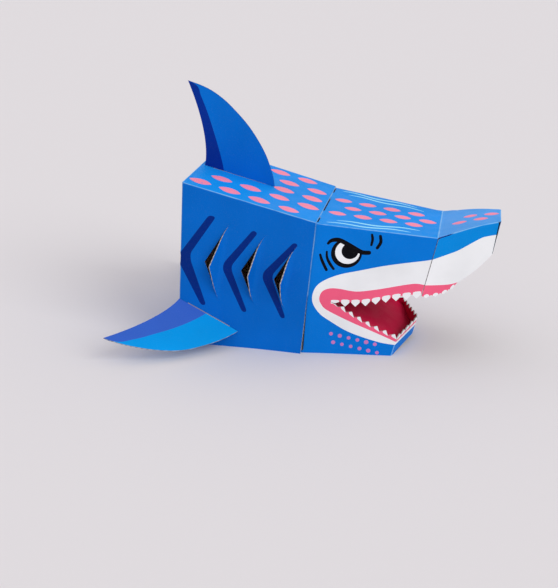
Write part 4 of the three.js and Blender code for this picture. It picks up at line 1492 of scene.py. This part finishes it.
def spotTree(name, sizes, inkName):
    # staggered rows of ovals that draw together as the panel narrows
    tree, given = startTree(name, sizes)
    grid = tree.nodes.new("GeometryNodeMeshGrid")
    sizeA = mathNode(tree, "MULTIPLY", mathNode(tree, "SUBTRACT", given["Columns"], 1.0), given["Pitch A"])
    sizeB = mathNode(tree, "MULTIPLY", mathNode(tree, "SUBTRACT", given["Rows"], 1.0), given["Pitch B"])
    for label, value in (("Size X", sizeA), ("Size Y", sizeB), ("Vertices X", given["Columns"]),
                         ("Vertices Y", given["Rows"])):
        tree.links.new(value, grid.inputs[label])
    split = tree.nodes.new("ShaderNodeSeparateXYZ")
    tree.links.new(tree.nodes.new("GeometryNodeInputPosition").outputs[0], split.inputs[0])
    across = mathNode(tree, "ADD", split.outputs["Y"], mathNode(tree, "MULTIPLY", sizeB, 0.5))
    row = mathNode(tree, "ROUND", mathNode(tree, "DIVIDE", across, given["Pitch B"]), 0)
    odd = mathNode(tree, "MODULO", row, 2.0)
    shifted = mathNode(tree, "ADD", split.outputs["X"],
                       mathNode(tree, "MULTIPLY", mathNode(tree, "MULTIPLY", odd, given["Stagger"]), given["Pitch A"]))
    place3 = tree.nodes.new("GeometryNodeSetPosition")
    tree.links.new(grid.outputs["Mesh"], place3.inputs["Geometry"])
    narrow = mathNode(tree, "SUBTRACT", 1.0, mathNode(tree, "MULTIPLY", shifted, given["Narrowing"]))
    tree.links.new(combine(tree, shifted, mathNode(tree, "MULTIPLY", split.outputs["Y"], narrow), 0.0),
                   place3.inputs["Position"])
    disc = addNode(tree, "GeometryNodeMeshCircle", Vertices=28, Radius=0.5)
    disc.fill_type = "TRIANGLE_FAN"
    # the disc is drawn to a point at both ends
    rim = tree.nodes.new("ShaderNodeSeparateXYZ")
    tree.links.new(tree.nodes.new("GeometryNodeInputPosition").outputs[0], rim.inputs[0])
    pinch = mathNode(tree, "POWER", mathNode(tree, "MULTIPLY", mathNode(tree, "ABSOLUTE", rim.outputs["Y"], 0), 2.0),
                     given["Pinch"])
    lens = tree.nodes.new("GeometryNodeSetPosition")
    tree.links.new(disc.outputs[0], lens.inputs["Geometry"])
    tree.links.new(combine(tree, rim.outputs["X"], mathNode(tree, "MULTIPLY", rim.outputs["Y"], pinch), 0.0),
                   lens.inputs["Position"])
    shape = addNode(tree, "GeometryNodeTransform")
    tree.links.new(lens.outputs[0], shape.inputs["Geometry"])
    tree.links.new(combine(tree, given["Length"], given["Width"], 1.0), shape.inputs["Scale"])
    vary = tree.nodes.new("FunctionNodeRandomValue")
    vary.data_type = "FLOAT"
    floats = [socket for socket in vary.inputs if socket.type == "VALUE" and socket.enabled]
    linkTo(tree, floats[0], mathNode(tree, "SUBTRACT", 1.0, given["Vary"]))
    linkTo(tree, floats[1], mathNode(tree, "ADD", 1.0, given["Vary"]))
    tree.links.new(given["Seed"], vary.inputs["Seed"])
    scatter = tree.nodes.new("GeometryNodeInstanceOnPoints")
    tree.links.new(place3.outputs[0], scatter.inputs["Points"])
    tree.links.new(shape.outputs[0], scatter.inputs["Instance"])
    tree.links.new([socket for socket in vary.outputs if socket.enabled][0], scatter.inputs["Scale"])
    flat = tree.nodes.new("GeometryNodeRealizeInstances")
    tree.links.new(scatter.outputs[0], flat.inputs[0])
    spread = tree.nodes.new("ShaderNodeSeparateXYZ")
    tree.links.new(tree.nodes.new("GeometryNodeInputPosition").outputs[0], spread.inputs[0])
    cosine, sine = mathNode(tree, "COSINE", given["Turn"], 0), mathNode(tree, "SINE", given["Turn"], 0)
    x, y = spread.outputs["X"], spread.outputs["Y"]
    a = mathNode(tree, "ADD", given["Start A"], mathNode(tree, "SUBTRACT", mathNode(tree, "MULTIPLY", x, cosine),
                                                          mathNode(tree, "MULTIPLY", y, sine)))
    b = mathNode(tree, "ADD", given["Start B"], mathNode(tree, "ADD", mathNode(tree, "MULTIPLY", x, sine),
                                                          mathNode(tree, "MULTIPLY", y, cosine)))
    lay = tree.nodes.new("GeometryNodeSetPosition")
    tree.links.new(flat.outputs[0], lay.inputs["Geometry"])
    tree.links.new(onPanel(tree, given, a, b), lay.inputs["Position"])
    endTree(tree, pressOn(tree, given, lay.outputs[0]), [(inkName, None)])
    return tree


def rippleTree(name, sizes, inkName):
    # one wavy line along a panel, thinner at its ends
    tree, given = startTree(name, sizes)
    grid = addNode(tree, "GeometryNodeMeshGrid", Size_X=1.0, Size_Y=1.0, Vertices_X=72, Vertices_Y=2)
    split = tree.nodes.new("ShaderNodeSeparateXYZ")
    tree.links.new(tree.nodes.new("GeometryNodeInputPosition").outputs[0], split.inputs[0])
    share = mathNode(tree, "ADD", split.outputs["X"], 0.5)
    a = mathNode(tree, "MULTIPLY", share, given["Length"])
    phase = mathNode(tree, "MULTIPLY", mathNode(tree, "MULTIPLY", share, given["Waves"]), 2 * math.pi)
    wave = mathNode(tree, "MULTIPLY", mathNode(tree, "SINE", phase, 0), given["Swing"])
    slope = mathNode(tree, "MULTIPLY", a, given["Drift"])
    arch = mathNode(tree, "POWER", mathNode(tree, "SINE", mathNode(tree, "MULTIPLY", share, math.pi), 0), 0.45)
    half = mathNode(tree, "MULTIPLY", mathNode(tree, "MULTIPLY", split.outputs["Y"], given["Width"]),
                    mathNode(tree, "MAXIMUM", arch, 0.12))
    b = mathNode(tree, "ADD", given["Start B"], mathNode(tree, "ADD", wave, mathNode(tree, "ADD", slope, half)))
    lay = tree.nodes.new("GeometryNodeSetPosition")
    tree.links.new(grid.outputs["Mesh"], lay.inputs["Geometry"])
    tree.links.new(onPanel(tree, given, mathNode(tree, "ADD", given["Start A"], a), b), lay.inputs["Position"])
    endTree(tree, pressOn(tree, given, lay.outputs[0]), [(inkName, None)])
    return tree


topPanel = {"Origin": (0.0, rearY, 0.4), "Axis A": (0.0, -1.0, 0.0), "Axis B": (1.0, 0.0, 0.0), "Ray": (0.0, 0.0, -1.0)}


def sidePanel(sign):
    return {"Origin": (0.3 * sign, rearY, 0.0), "Axis A": (0.0, -1.0, 0.0), "Axis B": (0.0, 0.0, 1.0),
            "Ray": (-1.0 * sign, 0.0, 0.0)}


def layPrint(name, makeTree, inkName, slotName, sizes, panel, cardPiece):
    full = {label: value * mm if label in lengths else value for label, value in sizes.items()}
    full.update(panel)
    full["Card"] = cardPiece
    tree = makeTree(name + "Rule", full, inkName)
    piece = runTree(name, tree, full)
    data = piece.data
    mesh = bmesh.new()
    mesh.from_mesh(data)
    bmesh.ops.recalc_face_normals(mesh, faces=mesh.faces)
    mesh.to_mesh(data)
    mesh.free()
    if "inkEdge" in data.attributes:
        data.attributes.remove(data.attributes["inkEdge"])
    finishPiece(piece, slotName)
    return piece


lengths = {"Pitch A", "Pitch B", "Length", "Width", "Start A", "Start B", "Swing"}
oval = {"Stagger": 0.5, "Vary": 0.05, "Turn": 0.0, "Pinch": 0.7}
blueSlot, faceSlot = "printed_card_blue", "printed_card_face"
spots = {
    "head_spots_right": {"Columns": 4, "Rows": 2, "Pitch A": 43.0, "Pitch B": 45.0, "Length": 31.0, "Width": 24.0,
                         "Start A": 84.2, "Start B": -68.0, "Narrowing": 0.0, "Seed": 3},
    "head_spots_left": {"Columns": 4, "Rows": 2, "Pitch A": 43.0, "Pitch B": -45.0, "Length": 31.0, "Width": 24.0,
                        "Start A": 84.2, "Start B": 68.0, "Narrowing": 0.0, "Seed": 5},
    "head_spots_middle": {"Columns": 2, "Rows": 1, "Pitch A": 43.0, "Pitch B": 0.0, "Length": 31.0, "Width": 24.0,
                          "Start A": 148.0, "Start B": 0.0, "Narrowing": 0.0, "Seed": 7},
    "face_spots": {"Columns": 4, "Rows": 3, "Pitch A": 37.0, "Pitch B": 34.0, "Length": 26.0, "Width": 19.0,
                   "Start A": 268.0, "Start B": 0.0, "Narrowing": 2.4, "Seed": 11},
    "snout_spots": {"Columns": 2, "Rows": 2, "Pitch A": 30.0, "Pitch B": 26.0, "Length": 21.0, "Width": 14.0,
                    "Start A": 403.0, "Start B": 0.0, "Narrowing": 5.0, "Seed": 13},
}


def makePrints():
    for name, sizes in spots.items():
        carrier = headCard if name.startswith("head") else faceCard
        slotName = blueSlot if name.startswith("head") else faceSlot
        layPrint(name, spotTree, "spot", slotName, {**oval, **sizes}, topPanel, carrier)
    for sign, word in ((-1, "right"), (1, "left")):
        for number, (start, side, length, drift) in enumerate(((204, 94, 118, -0.2), (216, 77, 118, -0.2))):
            layPrint(f"face_ripple_{word}_{number + 1}", rippleTree, "ripple", faceSlot,
                     {"Start A": float(start), "Start B": float(sign * side), "Length": float(length), "Width": 5.4,
                      "Swing": 3.0, "Waves": 1.6, "Drift": -sign * 0.2 * -drift / 0.2}, topPanel, faceCard)
        layPrint("jaw_pores_" + word, spotTree, "pore", faceSlot,
                 {"Columns": 6, "Rows": 2, "Pitch A": 13.0, "Pitch B": -12.0, "Length": 5.6, "Width": 5.6,
                  "Start A": 252.0, "Start B": 18.0, "Narrowing": 0.0, "Stagger": 0.5, "Vary": 0.12,
                  "Turn": -0.21, "Pinch": 0.0, "Seed": 17}, sidePanel(sign), faceCard)


makePrints()
